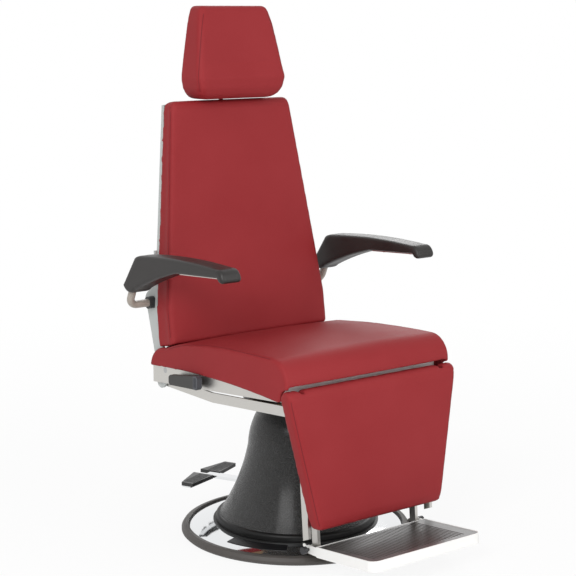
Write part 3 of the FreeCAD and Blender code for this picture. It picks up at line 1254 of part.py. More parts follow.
# Headrest
POST = dict(y="head_post_place")
guide_blank = block("guide_body", ("head_guide_width", "head_guide_depth", "head_guide_height"),
                    "-head_guide_width / 2", "head_post_place - head_guide_depth / 2",
                    "head_guide_centre - head_guide_height / 2")
knob_place = dict(y="head_post_place + head_post_radius", z="head_guide_centre")
name_it(cut("headrest_guide", guide_blank, pan_of_back, board_of_back, cushion_of_back,
            rod("post_bore", "Z", "head_post_radius + running_gap", "head_top", **POST),
            rod("knob_bore", "Y", "head_knob_stem + running_gap", "head_guide_depth", **knob_place)),
        "headrest_guide")
knob_face = "head_post_place + head_guide_depth / 2 + loose_gap"
knob = join("knob_blank", [
    rod("knob_stem", "Y", "head_knob_stem", "head_guide_depth / 2 - head_post_radius",
        y="head_post_place + head_post_radius + loose_gap", z="head_guide_centre"),
    rod("knob_head", "Y", "head_knob_radius", "head_knob_length", y=knob_face, z="head_guide_centre"),
])
lobe_circle_share = 1.1
lobes = []
for number in range(int(S.head_knob_lobes)):
    angle = "360 * %d / head_knob_lobes" % number
    lobes.append(rod("knob_lobe", "Y", "head_knob_radius / 4", "2 * head_knob_length",
                     "head_knob_radius * %s * cos(%s)" % (lobe_circle_share, angle),
                     knob_face + " - overrun",
                     "head_guide_centre + head_knob_radius * %s * sin(%s)" % (lobe_circle_share, angle)))
name_it(cut("headrest_knob", knob, group("knob_lobes", lobes)), "headrest_knob")


def tilt_rod(name, radius, half_width):
    """Round bar across the headrest's hinge."""
    return rod(name, "X", radius, "2 * (%s)" % half_width, "-(%s)" % half_width, "head_post_place",
               "head_tilt_height")


post = join("post_blank", [
    rod("post_bar", "Z", "head_post_radius", "head_tilt_height - head_post_low", z="head_post_low",
        **POST), tilt_rod("post_tongue", "head_tongue_radius", "tongue_half")])
name_it(cut("headrest_post", post, tilt_rod("tongue_bore", "head_pin_radius + running_gap",
                                            "tongue_half")), "headrest_post")
name_it(tilt_rod("headrest_hinge_pin", "head_pin_radius", "fork_half"), "headrest_hinge_pin")
name_it(block("headrest_board", ("head_board_width", "head_board_thickness", "head_board_height"),
              "-head_board_width / 2", "head_rear - head_board_thickness", "head_board_low"),
        "headrest_board")
fork = [block("fork_plate", ("head_fork_width", "head_fork_thickness / 2", "head_fork_width"),
              "-fork_half", "head_rear", "head_tilt_height - fork_half")]
for label, side in SIDES:
    low, wide = span(side, "fork_half - head_fork_thickness", "fork_half")
    fork.append(lever("fork_cheek_" + label, ("head_post_place", "head_tilt_height"),
                      ("head_rear", "head_tilt_height"), "head_tongue_radius", low, wide))
board_side = block("fork_trim", ("head_fork_width", "2 * head_board_thickness", "head_top"),
                   "-fork_half", "head_rear - 2 * head_board_thickness")
name_it(cut("headrest_fork", join("fork_blank", fork),
            tilt_rod("fork_bore", "head_pin_radius", "fork_half"), board_side,
            tilt_rod("fork_room", "head_tongue_radius + loose_gap", "tongue_half + loose_gap / 2")),
        "headrest_fork")


def head_section(height, wide, depth, crown, corner):
    """Cross section of the headrest at a height, its front hollowed when crown is negative."""
    turn = corner * S.corner_share
    rear, front = S.head_rear, S.head_rear - depth
    places = [(-wide + corner, rear), (-wide + turn, rear - turn), (-wide, rear - corner),
              (-wide, front + corner), (-wide + turn, front + turn), (-wide + corner, front),
              (0, front - crown), (wide - corner, front), (wide - turn, front + turn),
              (wide, front + corner), (wide, rear - corner), (wide - turn, rear - turn),
              (wide - corner, rear)]
    p = [Vector(across, place, height) for across, place in places]
    edges = [Part.Arc(p[0], p[1], p[2]), Part.LineSegment(p[2], p[3]), Part.Arc(p[3], p[4], p[5]),
             Part.Arc(p[5], p[6], p[7]), Part.Arc(p[7], p[8], p[9]), Part.LineSegment(p[9], p[10]),
             Part.Arc(p[10], p[11], p[12]), Part.LineSegment(p[12], p[0])]
    return Part.Wire([edge.toShape() for edge in edges])


def blend(low, high, share):
    return low + (high - low) * share


# Heights up the rounded lower edge, and how far its sides, depth and hollow follow
head_edge_shares = (0, 0.06, 0.22, 0.5)
head_edge_side_share, head_edge_depth_share, head_edge_hollow_share = 0.72, 0.576, 0.3
low_side_share, low_depth_share, low_hollow_share = 0.45, 0.6, 0.5
high_rise_share, high_side_share, high_depth_share, high_hollow_share = 0.6, 0.55, 0.6, 0.6
# Rounded top: shares of the corner below the top, off the sides, off the depth, left as corner
head_top_shares = ((1, 0, 0, 1), (0.3, 0.4, 0.3, 0.9), (0, 1, 0.8, 0.7))
head_top_hollow_share = 0.2
low_rise = S.head_low_height - S.head_bottom
hollow = -S.head_hollow
head_corner = S.back_corner
head_sections = []
for share in head_edge_shares:
    inset = low_rise * (1 - math.sqrt(1 - (1 - share) ** 2))
    head_sections.append(head_section(
        S.head_bottom + low_rise * share, S.head_low_half - inset * head_edge_side_share,
        S.head_low_depth - inset * head_edge_depth_share, hollow * head_edge_hollow_share,
        head_corner))
head_sections += [
    head_section(S.head_low_height, S.head_low_half, S.head_low_depth, hollow * low_hollow_share,
                 head_corner),
    head_section((S.head_low_height + S.head_mid_height) / 2,
                 blend(S.head_low_half, S.head_mid_half, low_side_share),
                 blend(S.head_low_depth, S.head_mid_depth, low_depth_share), hollow, head_corner),
    head_section(S.head_mid_height, S.head_mid_half, S.head_mid_depth, hollow, head_corner),
    head_section(blend(S.head_mid_height, S.head_top, high_rise_share),
                 blend(S.head_mid_half, S.head_top_half, high_side_share),
                 blend(S.head_mid_depth, S.head_top_depth, high_depth_share),
                 hollow * high_hollow_share, head_corner),
]
for below, side_share, depth_share, left in head_top_shares:
    head_sections.append(head_section(
        S.head_top - head_corner * below, S.head_top_half - head_corner * side_share,
        S.head_top_depth - head_corner * depth_share, hollow * head_top_hollow_share,
        head_corner * left))
head_blank = doc.addObject("Part::Feature", "head_blank")
head_blank.Shape = loft(head_sections)
name_it(cut("headrest_cushion", head_blank, block(
    "head_board_room", ("head_board_width + 2 * soft_gap", "head_board_thickness + overrun",
                        "head_board_height + 2 * soft_gap"),
    "-head_board_width / 2 - soft_gap", "head_rear - head_board_thickness",
    "head_board_low - soft_gap")), "headrest_cushion")

# Armrests
tube_lean = math.radians(S.arm_tube_lean)
tube_up = Vector(0, -math.sin(tube_lean), math.cos(tube_lean))
arm_axis = Vector(0, S.arm_axis_place, S.arm_axis_height)


def arm_spot(reach, drop, inset=0):
    """Side view point forward of the armrest's axis and below its highest line."""
    return (S.arm_axis_place - reach, S.arm_top_height - drop - inset)


def arm_outline(inset, crown):
    """Side view of an armrest pad, drawn in by inset on every side."""
    nose = S.arm_reach - S.arm_tip_inset / 2
    over = (S.arm_tip_drop + S.arm_top_front_drop) / 2 - S.arm_nose_round
    under = S.arm_reach * S.arm_under_rear_share
    return [
        (S.arm_axis_place - S.arm_rear_reach - inset, S.arm_axis_height + S.arm_rear_rise + inset),
        arm_spot(S.arm_back_reach + inset, S.arm_back_drop, inset),
        arm_spot((S.arm_back_reach + S.arm_crest_reach) / 2, S.arm_crest_drop + S.layer_gap, inset)
        + ("arc",),
        arm_spot(S.arm_crest_reach, S.arm_crest_drop - crown, inset),
        arm_spot(S.arm_reach * S.arm_top_share, -crown, inset) + ("arc",),
        arm_spot(S.arm_reach - S.arm_top_front_inset, S.arm_top_front_drop - crown, inset),
        arm_spot(nose - inset, over, inset) + ("arc",),
        arm_spot(S.arm_reach - inset, S.arm_tip_drop),
        arm_spot(nose - inset / 2, S.arm_tip_low_drop + S.arm_nose_round, -inset / 2) + ("arc",),
        arm_spot(S.arm_reach - S.arm_tip_inset - inset / 2, S.arm_tip_low_drop, -inset / 2),
        arm_spot(S.arm_reach - S.arm_under_inset, S.arm_under_drop, -inset / 2),
        arm_spot(under, S.arm_under_rear_drop, -inset / 2),
        arm_spot(S.arm_reach * S.arm_belly_share, S.arm_belly_drop, -inset) + ("arc",),
        (S.arm_axis_place - S.arm_root_reach, S.arm_axis_height + S.arm_root_rise + inset),
        (S.arm_axis_place - S.arm_heel_reach - inset / 2,
         S.arm_axis_height + S.arm_heel_rise + inset, "arc"),
    ]


def arm_path(side):
    """Middle line of an armrest's bent tube."""
    reach = side * S.arm_tube_place
    start = Vector(side * S.back_in, arm_axis.y, arm_axis.z)
    bend_start = Vector(side * (S.arm_tube_place - S.arm_bend), arm_axis.y, arm_axis.z)
    turn = S.arm_bend * S.corner_share
    bend_middle = Vector(side * (S.arm_tube_place - turn), arm_axis.y, arm_axis.z) + tube_up * turn
    riser = Vector(reach, arm_axis.y, arm_axis.z)
    return start, Part.Wire([
        Part.LineSegment(start, bend_start).toShape(),
        Part.Arc(bend_start, bend_middle, riser + tube_up * S.arm_bend).toShape(),
        Part.LineSegment(riser + tube_up * S.arm_bend, riser + tube_up * S.arm_tube_length).toShape()])


def arm_tube(name, side):
    """Tube with one bend, drawn upright and leaned about the armrest's axis."""
    sign = "" if side > 0 else "-"
    body = doc.addObject("PartDesign::Body", name)
    path = sketch_on(body, "XZ_Plane")
    bend, reach, start, high = S.arm_bend, side * S.arm_tube_place, side * S.back_in, S.arm_tube_length
    along = path.addGeometry(Part.LineSegment(Vector(start, 0, 0),
                                              Vector(reach - side * bend, 0, 0)), False)
    turns = (-math.pi / 2, 0) if side > 0 else (math.pi, 3 * math.pi / 2)
    ring = Part.Circle(Vector(reach - side * bend, bend, 0), Z_AXIS, bend)
    corner = path.addGeometry(Part.ArcOfCircle(ring, *turns), False)
    up = path.addGeometry(Part.LineSegment(Vector(reach, bend, 0), Vector(reach, high, 0)), False)
    first, last = (1, 2) if side > 0 else (2, 1)
    path.addConstraint(Sketcher.Constraint("Tangent", along, 2, corner, first))
    path.addConstraint(Sketcher.Constraint("Tangent", corner, last, up, 1))
    path.addConstraint(Sketcher.Constraint("Horizontal", along))
    path.addConstraint(Sketcher.Constraint("Vertical", up))
    hold(path, along, 1, (sign + "back_in", "0"))
    hold(path, up, 2, (sign + "arm_tube_place", "arm_tube_length"))
    bind(path, Sketcher.Constraint("Radius", corner, bend), "arm_bend")
    section = sketch_on(body, "YZ_Plane", sign + "back_in")
    circle(section, ("0", "0"), "arm_tube_radius")
    circle(section, ("0", "0"), "arm_tube_radius - arm_tube_wall")
    feature = body.newObject("PartDesign::AdditivePipe", name + "Pipe")
    feature.Profile = section
    feature.Spine = (path, ["Edge1", "Edge2", "Edge3"])
    body.Tip = feature
    return put(body, "0", *ARM_AXIS, roll="arm_tube_lean")


screw_shares = (0.2, 0.8)
bushes = []
for label, side in SIDES:
    name_it(arm_tube("armrest_tube_" + label, side), "armrest_tube_" + label)
    eye, eye_wide = span(side, "back_out", "back_out + arm_bush_length")
    neck, neck_wide = span(side, "back_in", "back_out")
    bore, bore_wide = span(side, "back_in - overrun", "back_out + arm_bush_length + overrun")
    bush = join("bush_blank_" + label, [
        rod("bush_eye_" + label, "X", "arm_bush_radius", eye_wide, eye, *ARM_AXIS),
        rod("bush_neck_" + label, "X", "arm_bush_radius - arm_bush_flange", neck_wide, neck, *ARM_AXIS)])
    bushes.append(cut("bush_" + label, bush, rod("bush_bore_" + label, "X",
                                                 "arm_tube_radius + running_gap", bore_wide, bore,
                                                 *ARM_AXIS)))
    strip_low, strip_wide = span(side, "arm_strip_inner", "arm_strip_inner + arm_strip_width")
    strip = plate("arm_strip_" + label, [
        ("arm_under_front_y", "arm_under_front_height"), ("arm_under_rear_y", "arm_under_rear_height"),
        ("arm_under_rear_y", "arm_under_rear_height - arm_strip_thickness"),
        ("arm_under_front_y", "arm_under_front_height - arm_strip_thickness"),
    ], strip_low, strip_wide)
    screws = []
    for share in screw_shares:
        y = "arm_under_front_y + (arm_under_rear_y - arm_under_front_y) * %s" % share
        z = ("arm_under_front_height + (arm_under_rear_height - arm_under_front_height) * %s"
             " - arm_strip_thickness" % share)
        x = ("" if side > 0 else "-") + "arm_middle"
        screws.append(join("arm_screw_" + label, [
            rod("arm_screw_shank", "Z", "arm_screw_radius", "arm_screw_depth", x, y, z),
            rod("arm_screw_head", "Z", "arm_screw_head", "arm_screw_head_height", x, y,
                z + " - arm_screw_head_height")]))
    screws = group("armrest_screws_" + label, screws)
    name_it(cut("armrest_strip_" + label, strip, screws), "armrest_strip_" + label)
    name_it(screws, "armrest_screws_" + label)
    round_out = S.arm_pad_round
    near, far = S.arm_pad_inner, S.arm_pad_inner + S.arm_pad_width
    rows = [(near, round_out, 0), (near + round_out / 3, round_out / 3, 0), (near + round_out, 0, 0),
            (S.arm_middle, 0, S.arm_pad_crown), (far - round_out, 0, 0),
            (far - round_out / 3, round_out / 3, 0), (far, round_out, 0)]
    pad = loft([wire_yz(side * x, arm_outline(inset, crown)) for x, inset, crown in rows])
    start, path = arm_path(side)
    ring = Part.Wire(Part.Circle(start, X_AXIS, S.arm_tube_radius + S.running_gap).toShape())
    pad_blank = doc.addObject("Part::Feature", "arm_pad_blank_" + label)
    pad_blank.Shape = pad.cut(path.makePipeShell([ring], True, True))
    name_it(cut("armrest_pad_" + label, pad_blank, strip, screws), "armrest_pad_" + label)
name_it(group("armrest_bushes", bushes), "armrest_bushes")

# Recline release
handle_low, handle_wide = span(-1, "handle_in", "handle_out")
shaft_low, shaft_wide = span(-1, "bracket_in", "shaft_end")
shaft = name_it(rod("release_shaft", "X", "release_shaft_radius", shaft_wide, shaft_low, *RELEASE),
                "release_shaft")
name_it(cut("release_handle", plate("handle_blank", [
    ("handle_rear", "handle_rear_low + handle_corner"),
    ("handle_rear", "handle_rear_high - handle_corner"),
    ("handle_rear - handle_corner", "handle_rear_high"),
    ("handle_split", "handle_front_high - handle_corner / 3"), ("handle_split", "handle_front_low"),
    ("handle_rear - handle_corner", "handle_rear_low"),
], handle_low, handle_wide), shaft), "release_handle")
grip = plate("grip_blank", [
    ("handle_split", "handle_front_low"), ("handle_split", "handle_front_high - handle_corner / 3"),
    ("handle_front + handle_corner", "handle_front_high"),
    ("handle_front", "handle_front_high - handle_corner"),
    ("handle_front", "handle_front_low + handle_corner"),
    ("handle_front + handle_corner", "handle_front_low"),
], handle_low, handle_wide)
grip_ribs = []
for number in range(int(S.grip_rib_count)):
    grip_ribs.append(block("grip_groove",
                           ("overrun + grip_rib_depth", "grip_rib",
                            "handle_front_high - handle_front_low - 2 * handle_corner"),
                           "-handle_out - overrun",
                           "handle_front + handle_corner + grip_rib * %d" % (2 * number),
                           "handle_front_low + handle_corner"))
name_it(cut("release_grip", grip, group("grip_grooves", grip_ribs)), "release_grip")
low, wide = span(-1, "bracket_in", "lug_in")
tube_face = "seat_tube_place + tube_size / 2"
shoe_bracket = join("shoe_bracket_blank", [
    plate("shoe_bracket", [
        seat_point(tube_face, "tube_rise + tube_wall"), (tube_face, "release_height + shoe_radius"),
        ("release_place", "release_height + shoe_radius"),
        ("release_place", "seat_line_height - seat_slope * (%s) + tube_rise + tube_wall" % tube_face),
    ], low, wide), rod("shoe_bracket_eye", "X", "shoe_radius", wide, low, *RELEASE)])
shoe_bracket = cut("shoe_bracket_bored", shoe_bracket,
                   rod("shoe_bracket_bore", "X", "release_shaft_radius + running_gap", wide, low,
                       *RELEASE))
rear_tube = join("seat_tube_rear_whole", [seat_tube("seat_tube_rear", "seat_tube_place"), shoe_bracket])
name_it(group("seat_cross_tubes", [rear_tube, seat_tube("seat_tube_front", "-seat_tube_place")]),
        "seat_cross_tubes")
low, wide = span(-1, "arm_in", "arm_out")
hub_low, hub_wide = span(-1, "arm_in", "back_in")
sector = join("sector_blank", [
    plate("sector_blade", [
        circle_spot(BACK_PIVOT, "brake_hub_radius", "brake_start - brake_root_lead"),
        circle_spot(BACK_PIVOT, "brake_radius", "brake_start"),
        circle_spot(BACK_PIVOT, "brake_radius", "brake_start + brake_sweep / 2") + ("arc",),
        circle_spot(BACK_PIVOT, "brake_radius", "brake_start + brake_sweep"),
        circle_spot(BACK_PIVOT, "brake_hub_radius", "brake_start + brake_sweep"),
    ], low, wide),
    rod("sector_eye", "X", "brake_hub_radius", hub_wide, hub_low, *BACK_PIVOT)])
name_it(cut("brake_sector", sector, rod("sector_bore", "X", "back_pin_radius + running_gap",
                                        hub_wide, hub_low, *BACK_PIVOT)), "brake_sector")
tip = circle_spot(BACK_PIVOT, "shoe_contact_radius", "brake_contact")
shoe = join("shoe_blank", [
    plate("shoe_blade", [
        ("release_place", "release_height + shoe_radius"), (tip[0], tip[1] + " + shoe_tip_radius"),
        (tip[0] + " + shoe_tip_radius", tip[1]), (tip[0], tip[1] + " - shoe_tip_radius"),
        ("release_place", "release_height - shoe_radius"),
    ], low, wide), rod("shoe_eye", "X", "shoe_radius", wide, low, *RELEASE)])
name_it(cut("brake_shoe", shoe, rod("shoe_face", "X", "brake_radius + soft_gap", wide, low, *BACK_PIVOT),
            shaft), "brake_shoe")

doc.recompute()
problems = []
for item in doc.Objects:
    if "Invalid" in item.State or "Error" in item.State:
        problems.append("%s is %s" % (item.Label, item.State))
for item in FINISHED:
    if item.Shape.isNull() or not item.Shape.isValid():
        problems.append("%s has no valid shape" % item.Label)
if problems:
    raise RuntimeError("; ".join(problems))
for item in FINISHED:
    item.Shape.exportStep("parts/%s.step" % item.Label)
print("%d sub-parts written" % len(FINISHED))
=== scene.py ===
# %% [markdown]
# # Ophthalmic examination chair
# The metal and plastic of this chair come as a ready frame of solids, each riding on the body that
# it moves with. This lesson gives them their finishes, sews covers over the foam blocks, and lights
# the chair as in a catalogue.

# %% Load the frame
import math
import bmesh
import bpy
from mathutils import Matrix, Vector
from mathutils.bvhtree import BVHTree
from mathutils.kdtree import KDTree


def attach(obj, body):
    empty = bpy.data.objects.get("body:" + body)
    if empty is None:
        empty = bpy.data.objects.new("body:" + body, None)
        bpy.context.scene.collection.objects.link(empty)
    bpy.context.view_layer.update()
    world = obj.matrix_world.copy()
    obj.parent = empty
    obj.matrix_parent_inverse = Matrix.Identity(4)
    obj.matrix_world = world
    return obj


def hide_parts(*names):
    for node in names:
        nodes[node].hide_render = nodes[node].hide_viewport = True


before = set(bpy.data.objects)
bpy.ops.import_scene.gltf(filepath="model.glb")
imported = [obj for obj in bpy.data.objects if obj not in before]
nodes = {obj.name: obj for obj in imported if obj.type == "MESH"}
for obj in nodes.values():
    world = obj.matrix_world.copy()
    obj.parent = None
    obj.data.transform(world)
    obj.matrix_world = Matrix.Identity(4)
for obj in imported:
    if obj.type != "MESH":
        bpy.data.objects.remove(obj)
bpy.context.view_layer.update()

scene = bpy.context.scene

# %% [markdown]
# ## Camera and light
# The chair was photographed with a long lens from a little above the armrests, from the sitter's
# right. A camera's heading is a turn about Z: zero looks along +Y. Its pitch and a small turn to the
# side aim it at the middle of the chair.

# %% Camera
camera_data = bpy.data.cameras.new("Camera")
camera = bpy.data.objects.new("Camera", camera_data)
scene.collection.objects.link(camera)
heading, pitch, aside = math.radians(-38.92), math.radians(90 - 9.825), math.radians(0.285)
distance, eye_height = 4.209, 1.392
camera.location = (distance * math.sin(heading), -distance * math.cos(heading), eye_height)
camera.rotation_euler = (pitch, 0, heading + aside)
camera_data.sensor_width = 36
camera_data.lens = 100.53
camera_data.clip_end = 100
scene.camera = camera
scene.view_settings.view_transform = "Standard"
print("camera at", [round(c, 3) for c in camera.location])


# %% [markdown]
# ## A short way to write materials
# A Principled shader takes its colour, roughness and bumps from small sums of noise. Flow wraps one
# socket so that a sum can be typed as a sum, and Finish is the material that the nodes are put in.

# %% Material helpers
class Flow:
    """A value on its way through a finish, which can be added, multiplied and so on."""

    def __init__(self, finish, socket):
        self.finish = finish
        self.socket = socket

    def sum(self, operation, first, second):
        return self.finish.add("ShaderNodeMath", {"operation": operation}, {0: first, 1: second})

    def __add__(self, other):
        return self.sum("ADD", self, other)

    def __radd__(self, other):
        return self.sum("ADD", other, self)

    def __sub__(self, other):
        return self.sum("SUBTRACT", self, other)

    def __rsub__(self, other):
        return self.sum("SUBTRACT", other, self)

    def __mul__(self, other):
        return self.sum("MULTIPLY", self, other)

    def __rmul__(self, other):
        return self.sum("MULTIPLY", other, self)

    def most(self, other):
        """The larger of two values."""
        return self.sum("MAXIMUM", self, other)

    def between(self, low, high):
        """0 below low, 1 above high, and even between them."""
        return self.finish.add("ShaderNodeMapRange", {"clamp": True}, {0: self, 1: low, 2: high})


class Bench:
    """A tree of shader nodes that can be added to."""

    def __init__(self, tree):
        self.tree = tree

    def add(self, kind, settings, values, output=0):
        """Put in one node: its settings first, then a value or a link for each socket."""
        node = self.tree.nodes.new(kind)
        for name, value in settings.items():
            setattr(node, name, value)
        for name, value in values.items():
            socket = node.inputs[name]
            if isinstance(value, Flow):
                self.tree.links.new(value.socket, socket)
            else:
                socket.default_value = value
        return Flow(self, node.outputs[output])

    def seen(self):
        """1 where a camera, a mirror or clear glass looks, and 0 where only light is given."""
        camera, mirror, glass = [
            self.add("ShaderNodeLightPath", {}, {}, output=ray)
            for ray in ("Is Camera Ray", "Is Glossy Ray", "Is Transmission Ray")]
        return camera.most(mirror).most(glass)


class Finish(Bench):
    """One material of the chair."""

    def __init__(self, name, colour, roughness=0.5, metallic=0.0, coat=0.0, coat_roughness=0.1,
                 specular=0.5):
        self.material = bpy.data.materials.new(name)
        self.material.use_nodes = True
        super().__init__(self.material.node_tree)
        self.shader = self.tree.nodes["Principled BSDF"]
        self.shader.inputs["Base Color"].default_value = (*colour, 1)
        self.shader.inputs["Roughness"].default_value = roughness
        self.shader.inputs["Metallic"].default_value = metallic
        self.shader.inputs["Coat Weight"].default_value = coat
        self.shader.inputs["Coat Roughness"].default_value = coat_roughness
        self.shader.inputs["Specular IOR Level"].default_value = specular
        place = self.tree.nodes.new("ShaderNodeTexCoord")
        self.place = Flow(self, place.outputs["Object"])

    def stretched(self, scale):
        """The place on the piece, stretched by a scale along each axis."""
        return self.add("ShaderNodeMapping", {}, {"Vector": self.place, "Scale": scale})

    def noise(self, scale, detail=2.0, place=None, roughness=0.5):
        """Soft random patches, so many to the metre, with finer ones inside them."""
        values = {"Vector": place or self.place, "Scale": scale, "Detail": detail,
                  "Roughness": roughness}
        return self.add("ShaderNodeTexNoise", {}, values)

    def cells(self, scale, feature="F1"):
        """Round cells in a random pattern, so many to the metre."""
        values = {"Vector": self.place, "Scale": scale}
        return self.add("ShaderNodeTexVoronoi", {"feature": feature}, values)

    def mix(self, share, first, second):
        """A colour between two colours."""
        first = first if isinstance(first, Flow) else (*first, 1)
        second = second if isinstance(second, Flow) else (*second, 1)
        values = {0: share, 6: first, 7: second}
        return self.add("ShaderNodeMix", {"data_type": "RGBA"}, values, output=2)

    def feed(self, **sockets):
        """Link a value to each named input of the shader."""
        for name, flow in sockets.items():
            self.tree.links.new(flow.socket, self.shader.inputs[name.replace("_", " ")])

    def bump(self, height, depth, strength=1.0):
        """Raise the surface by a height from 0 to 1, with a depth in metres."""
        values = {"Height": height, "Distance": depth, "Strength": strength}
        self.feed(Normal=self.add("ShaderNodeBump", {}, values))


# %% [markdown]
# ## Floor, surround and lamps
# A catalogue chair stands on a white sweep. Light Path tells what looks at a surface: to the camera
# and to mirrors the floor and the surround are plain white, and to the light they are a pale floor
# and an even soft sky, so the chair isn't lit too strongly. An eighth of the real floor is left in
# near the chair, which keeps its shadow faintly on the white. Four lamps do the rest: the key lamp
# and the front lamp on either side of the camera, a rim lamp behind, and a weak one near the floor
# that brightens what faces down.

# %% Stage
floor_mesh = bpy.data.meshes.new("Floor")
shape = bmesh.new()
bmesh.ops.create_grid(shape, x_segments=1, y_segments=1, size=30)
shape.to_mesh(floor_mesh)
shape.free()
floor = bpy.data.objects.new("Floor", floor_mesh)
scene.collection.objects.link(floor)
pale = Finish("Pale floor", (0.86, 0.86, 0.86), roughness=0.9)
floor_mesh.materials.append(pale.material)
reach = pale.add("ShaderNodeVectorMath", {"operation": "LENGTH"}, {0: pale.place}, output="Value")
shadow_share, shadow_reach, all_white_from = 0.12, 1.0, 3.2
white_share = reach.between(shadow_reach, all_white_from) * shadow_share + (1 - shadow_share)
share = pale.seen() * white_share
glow = pale.add("ShaderNodeEmission", {}, {"Color": (1, 1, 1, 1), "Strength": 1.0})
lit = Flow(pale, pale.shader.outputs[0])
surface = pale.add("ShaderNodeMixShader", {}, {0: share, 1: lit, 2: glow})
pale.tree.links.new(surface.socket, pale.tree.nodes["Material Output"].inputs["Surface"])
print("floor made")

# %% Surround
world = bpy.data.worlds.new("Studio")
scene.world = world
world.use_nodes = True
studio = Bench(world.node_tree)
sky_strength = 0.62
soft = studio.add("ShaderNodeBackground", {}, {"Color": (1, 1, 1, 1), "Strength": sky_strength})
white = studio.add("ShaderNodeBackground", {}, {"Color": (1, 1, 1, 1), "Strength": 1.0})
around = studio.add("ShaderNodeMixShader", {}, {0: studio.seen(), 1: soft, 2: white})
world.node_tree.links.new(around.socket, world.node_tree.nodes["World Output"].inputs["Surface"])
print("surround made")


# %% Lamps
def lamp(name, place, target, size, power):
    """A soft square lamp that faces a point."""
    data = bpy.data.lights.new(name, "AREA")
    data.size = size
    data.energy = power
    light = bpy.data.objects.new(name, data)
    scene.collection.objects.link(light)
    light.location = place
    light.rotation_euler = (Vector(target) - Vector(place)).to_track_quat("-Z", "Y").to_euler()


lamp("Key lamp", (-3.4, -2.2, 2.9), (0, 0, 0.7), 1.8, 95)
lamp("Front lamp", (1.2, -4.2, 2.2), (0, 0, 0.6), 2.4, 45)
lamp("Rim lamp", (2.6, 2.8, 2.6), (0, 0.1, 0.7), 1.6, 35)
lamp("Low lamp", (-1.6, -3.2, 0.35), (0, -0.3, 0.4), 1.4, 14)

# %% [markdown]
# ## Red vinyl
# Upholstery vinyl is a dull skin over foam: a fine pebble grain a millimetre or two across, slightly
# paler and rougher in patches where hands and clothes rub it, with a very thin shine on top.

# %% Vinyl
def vinyl(name, colour, worn):
    """Grained upholstery in a colour, paler where it is worn."""
    finish = Finish(name, colour, roughness=0.5, coat=0.02, coat_roughness=0.35, specular=0.16)
    patches = finish.noise(7, 4).between(0.3, 0.75)
    speckle = finish.noise(260, 3)
    finish.feed(Base_Color=finish.mix(patches * 0.4 + speckle * 0.45, colour, worn))
    finish.feed(Roughness=patches * 0.08 + speckle * 0.14 + 0.47)
    grain = finish.cells(620, "DISTANCE_TO_EDGE").between(0.0, 0.22)
    creases = finish.noise(38, 3, finish.stretched((1, 1, 0.5)))
    finish.bump(grain * 0.5 + finish.noise(1500, 2) * 0.25 + creases * 1.4, 0.00024, 0.6)
    return finish.material


red_vinyl = vinyl("Red vinyl", (0.246, 0.016, 0.019), (0.300, 0.030, 0.034))
thread = Finish("Red thread", (0.15, 0.010, 0.014), roughness=0.65, specular=0.25)
thread.bump(thread.noise(900, 2), 0.0003)
print("vinyl and thread made")


# %% [markdown]
# ## Metals
# The seat's side plates, links and footrest bars are stainless steel brushed along their length. The
# base is a spun dome with bright plating, and the piston and pedal have the same plating. The column
# is cast and sprayed with hammered paint, whose dimples are about three millimetres across.

# %% Metal finishes
def brushed(name, colour, along):
    """Steel with fine streaks, drawn out where the scale along an axis is small."""
    finish = Finish(name, colour, roughness=0.34, metallic=1.0)
    streaks = finish.noise(240, 4, finish.stretched(along), 0.7)
    smudge = finish.noise(9, 3).between(0.35, 0.8)
    finish.feed(Roughness=streaks * 0.16 + smudge * 0.12 + 0.22)
    pale_tone = tuple(min(1, c * 1.12) for c in colour)
    dark_tone = tuple(c * 0.86 for c in colour)
    finish.feed(Base_Color=finish.mix(streaks, dark_tone, pale_tone))
    finish.bump(streaks, 0.00008, 0.5)
    return finish.material


def plated(name, colour, roughness):
    """Bright plating, a little hazy and uneven."""
    finish = Finish(name, colour, roughness=roughness, metallic=1.0)
    haze = finish.noise(14, 4).between(0.35, 0.85)
    finish.feed(Roughness=haze * 0.05 + roughness)
    finish.bump(finish.noise(6, 1), 0.0012, 0.3)
    return finish.material


def painted(name, colour, roughness=0.4):
    """Sprayed paint with a faint orange peel and a little pale dust."""
    finish = Finish(name, colour, roughness=roughness, coat=0.15)
    dust_tone, dust_share, peel_depth = 0.75, 0.05, 0.00012
    peel = finish.noise(420, 3)
    dust = finish.noise(11, 4).between(0.4, 0.8)
    paler = tuple(c + (dust_tone - c) * dust_share for c in colour)
    finish.feed(Base_Color=finish.mix(dust * 0.7 + peel * 0.2, colour, paler))
    finish.feed(Roughness=dust * 0.1 + peel * 0.06 + roughness - 0.06)
    finish.bump(peel, peel_depth, 0.5)
    return finish.material


steel_long = brushed("Brushed steel along", (0.60, 0.585, 0.555), (9, 0.35, 9))
steel_tall = brushed("Brushed steel upright", (0.60, 0.585, 0.555), (9, 9, 0.35))
plain_steel = brushed("Turned steel", (0.45, 0.45, 0.45), (2, 2, 2))
chrome = plated("Bright plating", (0.80, 0.81, 0.82), 0.06)
strip_paint = painted("Strip paint", (0.93, 0.93, 0.92), roughness=0.3)
grey_paint = painted("Pale grey paint", (0.44, 0.46, 0.45))
white_paint = painted("White paint", (0.87, 0.87, 0.85), roughness=0.36)
black_paint = painted("Black paint", (0.022, 0.022, 0.023), roughness=0.4)
frame_paint = painted("Dark frame paint", (0.035, 0.035, 0.036), roughness=0.5)
beige_paint = painted("Beige grey satin paint", (0.34, 0.30, 0.26), roughness=0.32)

